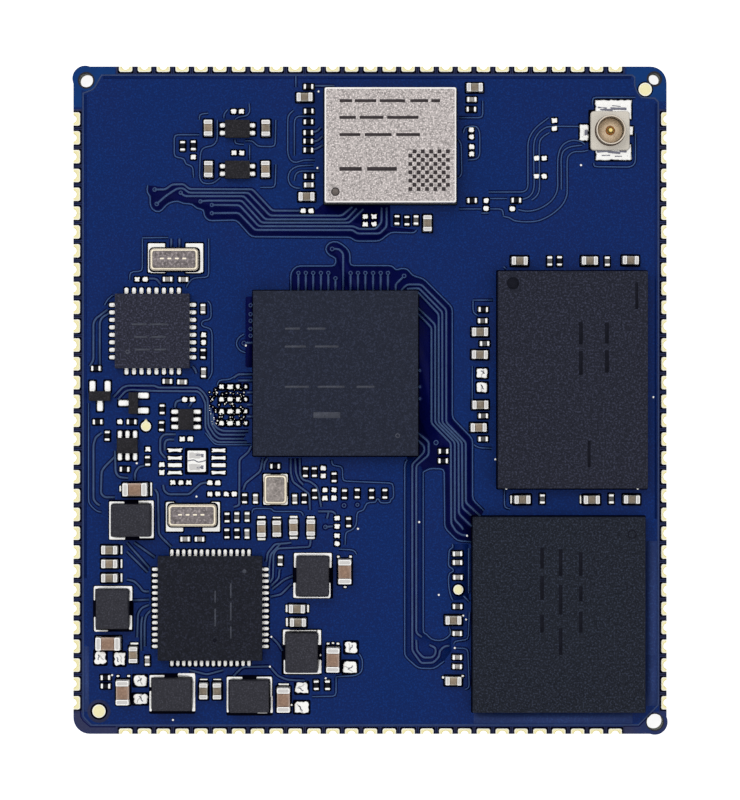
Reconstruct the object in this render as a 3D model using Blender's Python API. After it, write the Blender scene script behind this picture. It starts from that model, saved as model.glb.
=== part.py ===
"""Castellated computer module, modelled in metres with +Z up.

A bare circuit board lies flat on its underside and carries its soldered parts on top. The origin
is the middle of the underside, +X runs across the board and +Y along it. Each larger part is an
object of its own. The smallest chip parts, the bare pads and the last of the small capacitors are
fused to the board, because the module has more parts than an assembly of this kind may hold.
"""
import math

import bmesh
import bpy
from mathutils import Matrix, Vector

MM = 0.001

# Board
BOARD_WIDTH = 40.0 * MM
BOARD_LENGTH = 45.0 * MM
BOARD_THICKNESS = 1.2 * MM
CORNER_RADIUS = 1.1 * MM
EAR_RADIUS = 0.87 * MM
EAR_INSET_X = 0.79 * MM
EAR_INSET_Y = 0.80 * MM

# Half holes along the four edges
PITCH = 1.27 * MM
END_COUNT = 27
SIDE_COUNT = 32
END_SHIFT = 0.03 * MM
SIDE_SHIFT = -0.72 * MM
NOTCH_RADIUS = 0.28 * MM
NOTCH_OUT = 0.06 * MM
NOTCH_STEPS = 12

# Solder and bare pads
STAND_OFF = 0.06 * MM
PAD_HEIGHT = 0.03 * MM
ROOT_DEPTH = 0.2 * MM

# Ball grid packages
PROCESSOR_SIZE = 11.1 * MM
PROCESSOR_HEIGHT = 1.2 * MM
MEMORY_WIDTH = 10.06 * MM
MEMORY_LENGTH = 14.62 * MM
MEMORY_HEIGHT = 1.1 * MM
FLASH_WIDTH = 11.6 * MM
FLASH_LENGTH = 13.15 * MM
FLASH_HEIGHT = 1.0 * MM
PACKAGE_EDGE = 0.08 * MM

# Leadless packages
POWER_SIZE = 7.04 * MM
POWER_HEIGHT = 0.85 * MM
POWER_PITCH = 0.4 * MM
POWER_PADS = 14
CONTROLLER_SIZE = 5.04 * MM
CONTROLLER_HEIGHT = 0.75 * MM
CONTROLLER_PITCH = 0.505 * MM
CONTROLLER_PADS = 8
LAND_WIDTH = 0.26 * MM
LAND_OUTSIDE = 0.42 * MM
LAND_UNDER = 0.15 * MM

# Radio module
RADIO_WIDTH = 8.96 * MM
RADIO_LENGTH = 7.86 * MM
RADIO_SUBSTRATE = 0.35 * MM
SHIELD_INSET = 0.06 * MM
SHIELD_HEIGHT = 1.0 * MM
SHIELD_WALL = 0.15 * MM
SHIELD_EDGE = 0.25 * MM
RADIO_CHIP_SIZE = 5.0 * MM
RADIO_CHIP_HEIGHT = 0.6 * MM
ASSEMBLY_GAP = 0.03 * MM

# Crystals in ceramic bases with metal lids
CRYSTAL_LENGTH = 3.25 * MM
CRYSTAL_WIDTH = 1.5 * MM
CRYSTAL_HEIGHT = 0.6 * MM
OSCILLATOR_LENGTH = 2.0 * MM
OSCILLATOR_WIDTH = 1.57 * MM
OSCILLATOR_HEIGHT = 0.45 * MM
LID_RIM = 0.2 * MM
LID_THICKNESS = 0.12 * MM
CERAMIC_CORNER = 0.2 * MM

# Coaxial jack
JACK_SIZE = 2.64 * MM
JACK_BASE_HEIGHT = 0.35 * MM
JACK_HEIGHT = 1.25 * MM
JACK_RADIUS = 1.0 * MM
JACK_WALL = 0.11 * MM
JACK_CORNER = 0.35 * MM
PIN_RADIUS = 0.13 * MM
PIN_HEIGHT = 0.95 * MM
STRAP_THICKNESS = 0.12 * MM
FOOT_LENGTH = 2.4 * MM
FOOT_WIDTH = 0.7 * MM
STRAP_WIDTH = 0.9 * MM
BRIDGE_WIDTH = 0.8 * MM
TAIL_WIDTH = 0.45 * MM
SIGNAL_FOOT_LENGTH = 1.1 * MM
SIGNAL_FOOT_WIDTH = 0.6 * MM

# Power inductors
INDUCTOR_LENGTH = 2.68 * MM
INDUCTOR_WIDTH = 2.2 * MM
INDUCTOR_HEIGHT = 1.05 * MM
ELECTRODE_OUTSIDE = 0.17 * MM
ELECTRODE_ARM = 1.0 * MM
ELECTRODE_HEIGHT = 0.35 * MM

# Chip parts: length, width, height, terminal length
LARGE_CHIP = (1.70 * MM, 0.92 * MM, 0.85 * MM, 0.38 * MM)
SMALL_CHIP = (1.10 * MM, 0.60 * MM, 0.55 * MM, 0.29 * MM)
TINY_CAPACITOR = (0.66 * MM, 0.34 * MM, 0.33 * MM, 0.19 * MM)
TINY_RESISTOR = (0.66 * MM, 0.34 * MM, 0.26 * MM, 0.17 * MM)
TERMINAL_STEP = 0.03 * MM

# Flat lead packages
LEAD_THICKNESS = 0.13 * MM
LEAD_ROOT = 0.15 * MM
SWITCH_BODY = (1.69 * MM, 1.23 * MM, 0.55 * MM)
SWITCH_LEAD = (0.28 * MM, 0.36 * MM)
SWITCH_PITCH = 0.51 * MM
TRANSISTOR_BODY = (1.47 * MM, 0.66 * MM, 0.5 * MM)
TRANSISTOR_LEAD = (0.4 * MM, 0.7 * MM)
TRANSISTOR_PITCH = 1.02 * MM
GATE_BODY = (1.42 * MM, 1.0 * MM, 0.5 * MM)
GATE_LEAD = (0.3 * MM, 0.5 * MM)
GATE_PITCH = 0.51 * MM

# Places, in millimetres from the middle of the board. A third number is a turn in degrees.
PROCESSOR_PLACE = (-2.31, 1.81)
MEMORY_PLACE = (13.62, 1.37)
FLASH_PLACE = (12.70, -14.42)
POWER_PLACE = (-10.76, -14.0)
CONTROLLER_PLACE = (-14.65, 4.66)
RADIO_PLACE = (1.37, 17.11)
JACK_PLACE = (16.17, 18.15)
OSCILLATOR_PLACE = (-6.37, -6.01, 90)
CRYSTAL_PLACES = ((-13.18, 9.47, 0), (-11.96, -7.75, 0))
INDUCTOR_PLACES = (
    (-16.08, -8.08, 0), (-17.31, -14.04, 90), (-3.85, -11.82, 90),
    (-4.60, -16.97, 90), (-13.33, -19.78, 0), (-8.12, -19.90, 0),
)
LARGE_CAPACITOR_PLACES = (
    (-15.82, -6.02, 0), (-1.70, -11.55, 88), (-17.63, -16.39, 0),
    (-16.65, -19.68, 90), (-2.50, -17.48, 90), (-5.83, -20.17, 90),
)
SWITCH_PLACES = ((-8.93, 18.27, 0), (-8.93, 15.52, 0))
TRANSISTOR_PLACES = ((-18.20, 0.28, 0), (-15.94, -0.19, -90))
GATE_PLACES = ((-16.35, -3.06, 0), (-12.40, -1.29, 90))
SMALL_CAPACITOR_PLACES = (
    (-10.90, 18.34, 90), (-10.88, 15.56, 90), (-7.02, 18.33, 90), (-7.04, 15.56, 90),
    (-4.40, 20.41, 0), (-4.27, 13.71, 0), (7.05, 21.06, 0), (3.87, 11.92, 90),
    (7.41, 4.60, 0), (7.40, 3.07, 0), (7.43, -0.31, 0), (7.32, -1.84, 0),
    (-17.55, -10.09, 0), (-17.55, -11.02, 0), (-17.55, -11.98, 0), (-15.95, -17.15, 90),
    (-7.31, -8.66, 90), (-6.28, -8.65, 90), (-5.15, -8.56, 90), (-3.99, -8.58, 90),
    (-4.92, -14.05, 0), (-4.85, -14.97, 0), (-11.22, -19.59, 90), (-10.30, -19.59, 90),
    (10.08, 9.38, 0), (14.80, 9.39, 0), (17.55, 9.42, 0), (10.26, -6.69, 0),
    (14.93, -6.70, 0), (17.63, -6.68, 0), (5.62, -14.82, 0), (5.62, -18.91, 0),
)
SEPARATE_SMALL_CAPACITORS = 24
TINY_CAPACITOR_PLACES = (
    (-4.13, 14.49, 0), (6.87, 20.26, 0), (3.10, 12.15, 90), (12.11, 9.38, 90), (16.00, 9.37, 90),
    (7.60, 5.35, 0), (7.73, 3.83, 0), (7.63, -1.06, 0), (7.61, -2.61, 0), (-13.63, 8.15, 0),
    (-12.57, 8.15, 0), (-11.26, 6.16, 90), (-11.22, 1.86, 90), (-13.65, 1.26, 0), (-12.65, 1.24, 0),
    (-12.45, -9.36, 0), (-11.48, -9.36, 0), (-7.71, -6.65, 90), (-5.06, -6.65, 90),
    (-8.98, -7.88, 90), (-8.28, -7.88, 90), (-8.30, -9.00, 90), (-6.03, -10.82, 90),
    (5.89, -10.35, 0), (5.89, -10.95, 0), (5.91, -11.94, 0), (5.89, -13.90, 0), (5.89, -15.72, 0),
    (5.87, -17.34, 0), (5.89, -17.95, 0), (11.61, -6.66, 90), (16.26, -6.66, 90), (-15.00, -17.57, 90),
)
TINY_RESISTOR_PLACES = (
    (-12.64, 17.13, 90), (-11.91, 17.16, 90), (-4.13, 21.14, 0), (-4.13, 19.48, 0), (-4.15, 18.77, 0),
    (-4.15, 18.03, 0), (-4.15, 17.44, 0), (-4.15, 16.85, 0), (-4.11, 15.09, 0), (6.82, 19.62, 0),
    (6.87, 13.47, 0), (9.87, 13.47, 0), (1.82, 12.15, 90), (2.48, 12.10, 90), (12.77, 9.38, 90),
    (7.64, 6.10, 0), (4.94, -3.45, 0), (4.92, -4.09, 0), (-11.24, 3.13, 90), (-18.46, 2.13, 0),
    (-18.35, -1.46, 0), (-16.06, -1.46, 0), (-17.70, -2.39, 90), (-14.00, -0.62, 90),
    (-14.04, -1.75, 90), (-14.99, -4.09, 90), (-6.39, -4.46, 0), (-16.55, -4.66, 0),
    (-8.46, -6.62, 90), (-4.42, -6.64, 90), (-9.64, -7.90, 90), (-9.64, -8.98, 90),
    (-8.97, -8.98, 90), (-4.36, -4.84, 90), (-3.75, -4.83, 90), (-2.42, -5.20, 90),
    (-3.74, -6.33, 90), (-1.72, -6.33, 90), (-0.85, -6.30, 90), (0.11, -6.31, 90),
    (1.00, -6.32, 90), (-1.44, -8.23, 90), (-17.84, -18.69, 0), (-17.83, -19.28, 0),
    (-3.62, -19.21, 90), (-2.85, -19.20, 90),
)

# Bare pads that carry nothing
SMALL_PAD = (0.36 * MM, 0.33 * MM)
SMALL_PAD_PLACES = (
    (-11.91, 16.39), (-16.87, -1.46), (-14.99, -3.30), (9.59, 12.92), (-9.20, 19.47), (-8.67, 19.47),
    (-9.17, 16.68), (-8.64, 16.68), (11.23, 16.32), (11.75, 16.32), (11.22, 15.10), (11.75, 15.10),
    (-15.70, 8.15), (-15.15, 8.15), (-4.50, 12.77), (-3.98, 12.77), (-12.50, 0.05), (-11.97, 0.05),
    (-12.67, -2.61), (-12.12, -2.61), (-10.80, -5.56), (-10.26, -5.58), (6.83, 18.25), (6.83, 17.76),
    (6.85, 17.10), (6.85, 16.60), (12.44, 18.87), (12.44, 18.32), (-0.32, 12.39), (-0.32, 11.87),
    (0.27, 12.39), (0.27, 11.87), (7.83, 13.46), (7.83, 12.94), (-11.22, 4.41), (-11.22, 3.90),
    (-14.04, -4.35), (-14.04, -4.88), (-13.30, -5.55), (-12.76, -5.55), (-12.22, -5.55),
    (-10.80, -6.33), (-10.26, -6.32), (-9.69, -6.33), (-9.15, -6.33), (-3.16, -4.57), (-3.16, -5.10),
    (-3.04, -6.05), (-3.04, -6.60), (-2.43, -6.05), (-2.43, -6.59), (-2.22, -7.96), (-2.22, -8.51),
    (-2.22, -9.14), (-2.22, -9.67),
)
PAD_GRID_COLUMNS = (-10.01, -9.43, -8.90, -8.37)
PAD_GRID_ROWS = (0.91, 0.06, -0.75, -1.55)
# x, y, size along x, size along y
LARGE_PAD_PLACES = (
    (7.56, 1.82, 0.71, 0.64), (7.56, 0.86, 0.71, 0.64), (-15.50, -18.91, 0.87, 0.72),
    (-15.48, -20.15, 0.98, 0.68), (-18.18, -17.36, 0.76, 0.90), (-16.88, -17.45, 0.74, 0.87),
    (-1.28, -16.67, 0.85, 0.75), (-1.35, -18.00, 0.95, 0.82), (-4.60, -19.40, 0.83, 0.74),
    (-4.61, -20.70, 0.97, 0.78), (-11.69, -4.12, 1.40, 1.60),
)
EMPTY_LAND = (0.95, 0.26)
EMPTY_LAND_COLUMNS = (-13.16, -10.21)
EMPTY_LAND_ROWS = (-3.38, -3.89, -4.38, -4.89)
# x, y, radius
ROUND_PAD_PLACES = (
    (18.56, 20.96, 0.44), (-18.28, -20.97, 0.44), (-15.11, -1.76, 0.34), (5.96, -12.78, 0.34),
)
# side in x, side in y, distance from the two edges, radius
CORNER_HOLES = ((-1, 1, 0.86, 0.93, 0.42), (1, 1, 0.82, 0.84, 0.34), (1, -1, 0.79, 0.80, 0.487))
HOLE_STEPS = 20
ROUND_STEPS = 32


def clear_scene():
    """Removes whatever the file holds, so that the module stands alone."""
    for item in list(bpy.data.objects):
        bpy.data.objects.remove(item, do_unlink=True)


def new_group(name):
    """Makes a collection in the scene."""
    group = bpy.data.collections.new(name)
    bpy.context.scene.collection.children.link(group)
    return group


def finish(name, colour, roughness, metallic=0.0):
    """Makes a Principled material of one colour."""
    item = bpy.data.materials.new(name)
    item.use_nodes = True
    shader = item.node_tree.nodes["Principled BSDF"]
    shader.inputs["Base Color"].default_value = (*colour, 1.0)
    shader.inputs["Roughness"].default_value = roughness
    shader.inputs["Metallic"].default_value = metallic
    return item


def at(place, height=0.0):
    """The matrix that puts a shape at a place on the board's top face."""
    turn = math.radians(place[2]) if len(place) > 2 else 0.0
    point = Vector((place[0] * MM, place[1] * MM, BOARD_THICKNESS + height))
    return Matrix.Translation(point) @ Matrix.Rotation(turn, 4, "Z")


def add_part(name, mesh, place, *finishes):
    """Puts a mesh on the board as an object of its own."""
    if not mesh.materials:
        for item in finishes:
            mesh.materials.append(item)
    part = bpy.data.objects.new(name, mesh)
    part.matrix_world = at(place)
    part.parent = frame
    parts.objects.link(part)
    return part


def arc(centre, radius, start, end, steps):
    """Points along a round stretch, from one angle to another in degrees."""
    points = []
    for step in range(steps + 1):
        angle = math.radians(start + (end - start) * step / steps)
        points.append((centre[0] + radius * math.cos(angle), centre[1] + radius * math.sin(angle)))
    return points


def plate_mesh(name, outline, thickness, bottom):
    """Fills a flat outline and gives it a thickness above a height."""
    curve = bpy.data.curves.new(name, "CURVE")
    curve.dimensions = "2D"
    curve.fill_mode = "BOTH"
    curve.extrude = thickness / 2
    spline = curve.splines.new("POLY")
    spline.points.add(len(outline) - 1)
    for point, (x, y) in zip(spline.points, outline):
        point.co = (x, y, 0.0, 1.0)
    spline.use_cyclic_u = True
    source = bpy.data.objects.new(name, curve)
    cutters.objects.link(source)
    graph = bpy.context.evaluated_depsgraph_get()
    mesh = bpy.data.meshes.new_from_object(source.evaluated_get(graph))
    bpy.data.objects.remove(source, do_unlink=True)
    mesh.transform(Matrix.Translation((0.0, 0.0, bottom + thickness / 2)))
    shape = bmesh.new()
    shape.from_mesh(mesh)
    bmesh.ops.remove_doubles(shape, verts=shape.verts, dist=0.000001)
    bmesh.ops.dissolve_limit(shape, angle_limit=0.01, verts=shape.verts, edges=shape.edges)
    bmesh.ops.recalc_face_normals(shape, faces=shape.faces)
    bpy.data.meshes.remove(mesh)
    return to_mesh(name, shape)


def to_mesh(name, shape):
    """Turns a finished shape into a mesh."""
    mesh = bpy.data.meshes.new(name)
    shape.to_mesh(mesh)
    shape.free()
    return mesh


def add_copy(shape, mesh, matrix):
    """Adds a moved copy of a mesh to a shape."""
    copy = mesh.copy()
    copy.transform(matrix)
    shape.from_mesh(copy)
    bpy.data.meshes.remove(copy)


def block_mesh(name, size, bottom=0.0, centre=(0.0, 0.0), corner=0.0, edge=0.0):
    """A closed block standing at a height, with its upright or all upper edges bevelled."""
    shape = bmesh.new()
    middle = Vector((centre[0], centre[1], bottom + size[2] / 2))
    scale = Matrix.Diagonal((size[0], size[1], size[2], 1.0))
    bmesh.ops.create_cube(shape, size=1.0, matrix=Matrix.Translation(middle) @ scale)
    if corner:
        upright = [line for line in shape.edges if abs(line.verts[0].co.z - line.verts[1].co.z) > size[2] / 2]
        bmesh.ops.bevel(shape, geom=upright, offset=corner, segments=2, profile=0.5, affect="EDGES")
    if edge:
        top = bottom + size[2]
        upper = [line for line in shape.edges if max(v.co.z for v in line.verts) > top - size[2] / 4]
        bmesh.ops.bevel(shape, geom=upper, offset=edge, segments=1, profile=0.5, affect="EDGES")
    return to_mesh(name, shape)


def tube_mesh(name, radius, height, bottom, steps=ROUND_STEPS):
    """A closed round bar standing at a height."""
    shape = bmesh.new()
    middle = Matrix.Translation((0.0, 0.0, bottom + height / 2))
    bmesh.ops.create_cone(
        shape, cap_ends=True, segments=steps, radius1=radius, radius2=radius, depth=height, matrix=middle
    )
    return to_mesh(name, shape)


def combine(name, first, steps):
    """Joins and cuts closed meshes in turn and gives the mesh that they make."""
    body = bpy.data.objects.new(name, first)
    cutters.objects.link(body)
    tools = []
    for operation, mesh in steps:
        tool = bpy.data.objects.new(name + "_tool", mesh)
        cutters.objects.link(tool)
        tools.append(tool)
        boolean = body.modifiers.new(operation.lower(), "BOOLEAN")
        boolean.operation = operation
        boolean.object = tool
    graph = bpy.context.evaluated_depsgraph_get()
    mesh = bpy.data.meshes.new_from_object(body.evaluated_get(graph))
    mesh.name = name
    for item in (body, *tools):
        bpy.data.objects.remove(item, do_unlink=True)
    return mesh


def paint_ends(mesh, half_body):
    """Gives the second material to the faces of a chip part's two terminals."""
    for face in mesh.polygons:
        face.material_index = 1 if abs(face.center.x) > half_body else 0


def row(count, shift):
    """Places of evenly spaced half holes along one edge."""
    return [shift + (index - (count - 1) / 2) * PITCH for index in range(count)]


def board_outline():
    """The board's outline, anticlockwise from its lower left corner, with two corners eared."""
    half_x = BOARD_WIDTH / 2
    half_y = BOARD_LENGTH / 2
    fall = math.degrees(math.acos(EAR_INSET_Y / EAR_RADIUS))
    reach = math.degrees(math.acos(EAR_INSET_X / EAR_RADIUS))
    ear = (half_x - EAR_INSET_X, EAR_INSET_Y - half_y)
    inner = (half_x - CORNER_RADIUS, half_y - CORNER_RADIUS)
    points = arc((-inner[0], -inner[1]), CORNER_RADIUS, 180, 270, 6)
    points += arc(ear, EAR_RADIUS, -90 - fall, reach, 9)
    points += arc(inner, CORNER_RADIUS, 0, 90, 6)
    points += arc((-ear[0], -ear[1]), EAR_RADIUS, 90 - fall, 180 + reach, 9)
    return points


def holes_mesh():
    """Round cutters for the half holes along the edges and the holes in three corners."""
    half_x = BOARD_WIDTH / 2
    half_y = BOARD_LENGTH / 2
    height = 2 * BOARD_THICKNESS
    bottom = -BOARD_THICKNESS / 2
    shape = bmesh.new()
    notch = tube_mesh("notch", NOTCH_RADIUS, height, bottom, NOTCH_STEPS)
    for side in (-1, 1):
        for x in row(END_COUNT, END_SHIFT):
            add_copy(shape, notch, Matrix.Translation((x, side * (half_y + NOTCH_OUT), 0.0)))
        for y in row(SIDE_COUNT, SIDE_SHIFT):
            add_copy(shape, notch, Matrix.Translation((side * (half_x + NOTCH_OUT), y, 0.0)))
    for side_x, side_y, inset_x, inset_y, radius in CORNER_HOLES:
        x = side_x * (half_x - inset_x * MM)
        y = side_y * (half_y - inset_y * MM)
        hole = tube_mesh("corner_hole", radius * MM, height, bottom, HOLE_STEPS)
        add_copy(shape, hole, Matrix.Translation((x, y, 0.0)))
    return to_mesh("board_holes", shape)


def tiny_chip_mesh(name, size):
    """A chip part with its foot sunk into the board, drawn as a side profile of some width."""
    length, width, height, terminal = size
    end = length / 2
    body = end - terminal
    waist = height - TERMINAL_STEP
    profile = [
        (-end, -ROOT_DEPTH), (end, -ROOT_DEPTH), (end, height), (body, height),
        (body, waist), (-body, waist), (-body, height), (-end, height),
    ]
    mesh = plate_mesh(name, profile, width, -width / 2)
    mesh.transform(Matrix.Rotation(math.radians(90), 4, "X"))
    return mesh


def chip_mesh(name, size):
    """A ceramic chip part with two terminals that stand a little proud of it."""
    length, width, height, terminal = size
    step = TERMINAL_STEP
    core = (length - 2 * step, width - 2 * step, height - 2 * step)
    end = (terminal, width, height)
    reach = (length - terminal) / 2
    body = block_mesh(name, core, STAND_OFF + step)
    ends = [("UNION", block_mesh(name, end, STAND_OFF, (side * reach, 0.0))) for side in (-1, 1)]
    mesh = combine(name, body, ends)
    paint_ends(mesh, length / 2 - terminal - step / 2)
    return mesh


def inductor_mesh():
    """A moulded inductor with an electrode of plan shape C round each end."""
    bar = (2 * ELECTRODE_OUTSIDE, INDUCTOR_WIDTH + 2 * ELECTRODE_OUTSIDE, ELECTRODE_HEIGHT)
    arm = (ELECTRODE_ARM, 2 * ELECTRODE_OUTSIDE, ELECTRODE_HEIGHT)
    body_size = (INDUCTOR_LENGTH, INDUCTOR_WIDTH, INDUCTOR_HEIGHT)
    steps = []
    for side in (-1, 1):
        x = side * INDUCTOR_LENGTH / 2
        steps.append(("UNION", block_mesh("electrode_bar", bar, STAND_OFF, (x, 0.0))))
        arm_x = side * (INDUCTOR_LENGTH / 2 + ELECTRODE_OUTSIDE - ELECTRODE_ARM / 2)
        for wing in (-1, 1):
            middle = (arm_x, wing * INDUCTOR_WIDTH / 2)
            steps.append(("UNION", block_mesh("electrode_arm", arm, STAND_OFF, middle)))
    return combine("inductor", block_mesh("inductor_body", body_size, STAND_OFF), steps)


def lead_package_mesh(name, body, lead, leads):
    """A small moulded package with flat leads. A lead is its offset along x and its side in y."""
    lead_width, lead_length = lead
    size = (lead_width, lead_length + LEAD_ROOT, LEAD_THICKNESS)
    steps = []
    for offset, side in leads:
        middle = (offset, side * (body[1] / 2 + (lead_length - LEAD_ROOT) / 2))
        steps.append(("UNION", block_mesh("lead", size, STAND_OFF, middle)))
    return combine(name, block_mesh(name, body, STAND_OFF + LEAD_THICKNESS / 2), steps)


def add_fitting(shape, mesh, place):
    """Adds a copy of a mesh to the things that are fused to the board."""
    add_copy(shape, mesh, at(place))


def pad_mesh(size_x, size_y):
    """A bare pad with its foot sunk into the board."""
    return block_mesh("pad", (size_x, size_y, PAD_HEIGHT + ROOT_DEPTH), -ROOT_DEPTH)


def add_lands(shape, place, body, pitch, count):
    """Adds the rows of lands that stick out round a leadless package."""
    along = pad_mesh(LAND_OUTSIDE + LAND_UNDER, LAND_WIDTH)
    across = pad_mesh(LAND_WIDTH, LAND_OUTSIDE + LAND_UNDER)
    reach = (body / 2 + (LAND_OUTSIDE - LAND_UNDER) / 2) / MM
    for index in range(count):
        offset = (index - (count - 1) / 2) * pitch / MM
        for side in (-1, 1):
            add_fitting(shape, along, (place[0] + side * reach, place[1] + offset))
            add_fitting(shape, across, (place[0] + offset, place[1] + side * reach))


def fittings_mesh():
    """Everything that is fused to the board, as one mesh of separate closed shapes."""
    shape = bmesh.new()
    tiny_capacitor = tiny_chip_mesh("tiny_capacitor", TINY_CAPACITOR)
    tiny_resistor = tiny_chip_mesh("tiny_resistor", TINY_RESISTOR)
    small_capacitor = tiny_chip_mesh("fused_small_capacitor", SMALL_CHIP)
    small_pad = pad_mesh(*SMALL_PAD)
    empty_land = pad_mesh(EMPTY_LAND[0] * MM, EMPTY_LAND[1] * MM)
    for place in TINY_CAPACITOR_PLACES:
        add_fitting(shape, tiny_capacitor, place)
    for place in TINY_RESISTOR_PLACES:
        add_fitting(shape, tiny_resistor, place)
    for place in SMALL_CAPACITOR_PLACES[SEPARATE_SMALL_CAPACITORS:]:
        add_fitting(shape, small_capacitor, place)
    for place in SMALL_PAD_PLACES:
        add_fitting(shape, small_pad, place)
    for x in PAD_GRID_COLUMNS:
        for y in PAD_GRID_ROWS:
            add_fitting(shape, small_pad, (x, y))
    for x in EMPTY_LAND_COLUMNS:
        for y in EMPTY_LAND_ROWS:
            add_fitting(shape, empty_land, (x, y))
    for x, y, size_x, size_y in LARGE_PAD_PLACES:
        add_fitting(shape, pad_mesh(size_x * MM, size_y * MM), (x, y))
    for x, y, radius in ROUND_PAD_PLACES:
        disc = tube_mesh("round_pad", radius * MM, PAD_HEIGHT + ROOT_DEPTH, -ROOT_DEPTH, 16)
        add_fitting(shape, disc, (x, y))
    add_lands(shape, POWER_PLACE, POWER_SIZE, POWER_PITCH, POWER_PADS)
    add_lands(shape, CONTROLLER_PLACE, CONTROLLER_SIZE, CONTROLLER_PITCH, CONTROLLER_PADS)
    return to_mesh("board_fittings", shape)


def add_tool(board, mesh, operation):
    """Joins to or cuts from the board with a hidden mesh of separate closed shapes."""
    tool = bpy.data.objects.new(mesh.name, mesh)
    tool.hide_render = True
    tool.display_type = "WIRE"
    cutters.objects.link(tool)
    boolean = board.modifiers.new(mesh.name, "BOOLEAN")
    boolean.operation = operation
    boolean.object = tool


def make_board():
    """The board with its half holes, corner holes, bare pads and smallest parts."""
    mesh = plate_mesh("board", board_outline(), BOARD_THICKNESS, 0.0)
    mesh.materials.append(solder_mask)
    board = bpy.data.objects.new("board", mesh)
    board.parent = frame
    parts.objects.link(board)
    add_tool(board, fittings_mesh(), "UNION")
    add_tool(board, holes_mesh(), "DIFFERENCE")


def make_packages():
    """The large moulded packages."""
    processor = (PROCESSOR_SIZE, PROCESSOR_SIZE, PROCESSOR_HEIGHT - STAND_OFF)
    memory = (MEMORY_WIDTH, MEMORY_LENGTH, MEMORY_HEIGHT - STAND_OFF)
    flash = (FLASH_WIDTH, FLASH_LENGTH, FLASH_HEIGHT - STAND_OFF)
    power = (POWER_SIZE, POWER_SIZE, POWER_HEIGHT - STAND_OFF)
    controller = (CONTROLLER_SIZE, CONTROLLER_SIZE, CONTROLLER_HEIGHT - STAND_OFF)
    table = (
        ("processor", processor, PROCESSOR_PLACE), ("memory", memory, MEMORY_PLACE),
        ("flash_memory", flash, FLASH_PLACE), ("power_controller", power, POWER_PLACE),
        ("microcontroller", controller, CONTROLLER_PLACE),
    )
    for name, size, place in table:
        add_part(name, block_mesh(name, size, STAND_OFF, edge=PACKAGE_EDGE), place, moulding)


def make_radio():
    """The radio module: a substrate, the chip on it and the shield over both."""
    substrate = (RADIO_WIDTH, RADIO_LENGTH, RADIO_SUBSTRATE)
    add_part("radio_substrate", block_mesh("radio_substrate", substrate, STAND_OFF), RADIO_PLACE, laminate)
    floor = STAND_OFF + RADIO_SUBSTRATE + ASSEMBLY_GAP
    chip = (RADIO_CHIP_SIZE, RADIO_CHIP_SIZE, RADIO_CHIP_HEIGHT)
    add_part("radio_chip", block_mesh("radio_chip", chip, floor), RADIO_PLACE, moulding)
    width = RADIO_WIDTH - 2 * SHIELD_INSET
    length = RADIO_LENGTH - 2 * SHIELD_INSET
    outside = block_mesh("shield", (width, length, SHIELD_HEIGHT), floor, corner=SHIELD_EDGE, edge=SHIELD_EDGE / 3)
    hollow = (width - 2 * SHIELD_WALL, length - 2 * SHIELD_WALL, SHIELD_HEIGHT)
    room = block_mesh("shield_room", hollow, floor - SHIELD_WALL)
    mesh = combine("radio_shield", outside, [("DIFFERENCE", room)])
    add_part("radio_shield", mesh, RADIO_PLACE, shield_metal)


def make_crystal(name, length, width, height, place):
    """A ceramic base with a metal lid inside its rim."""
    base = block_mesh(name + "_base", (length, width, height), STAND_OFF, corner=CERAMIC_CORNER)
    add_part(name + "_base", base, place, gilt)
    cover = (length - 2 * LID_RIM, width - 2 * LID_RIM, LID_THICKNESS)
    level = STAND_OFF + height + ASSEMBLY_GAP
    lid = block_mesh(name + "_lid", cover, level, corner=CERAMIC_CORNER / 2)
    add_part(name + "_lid", lid, place, lid_metal)


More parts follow.
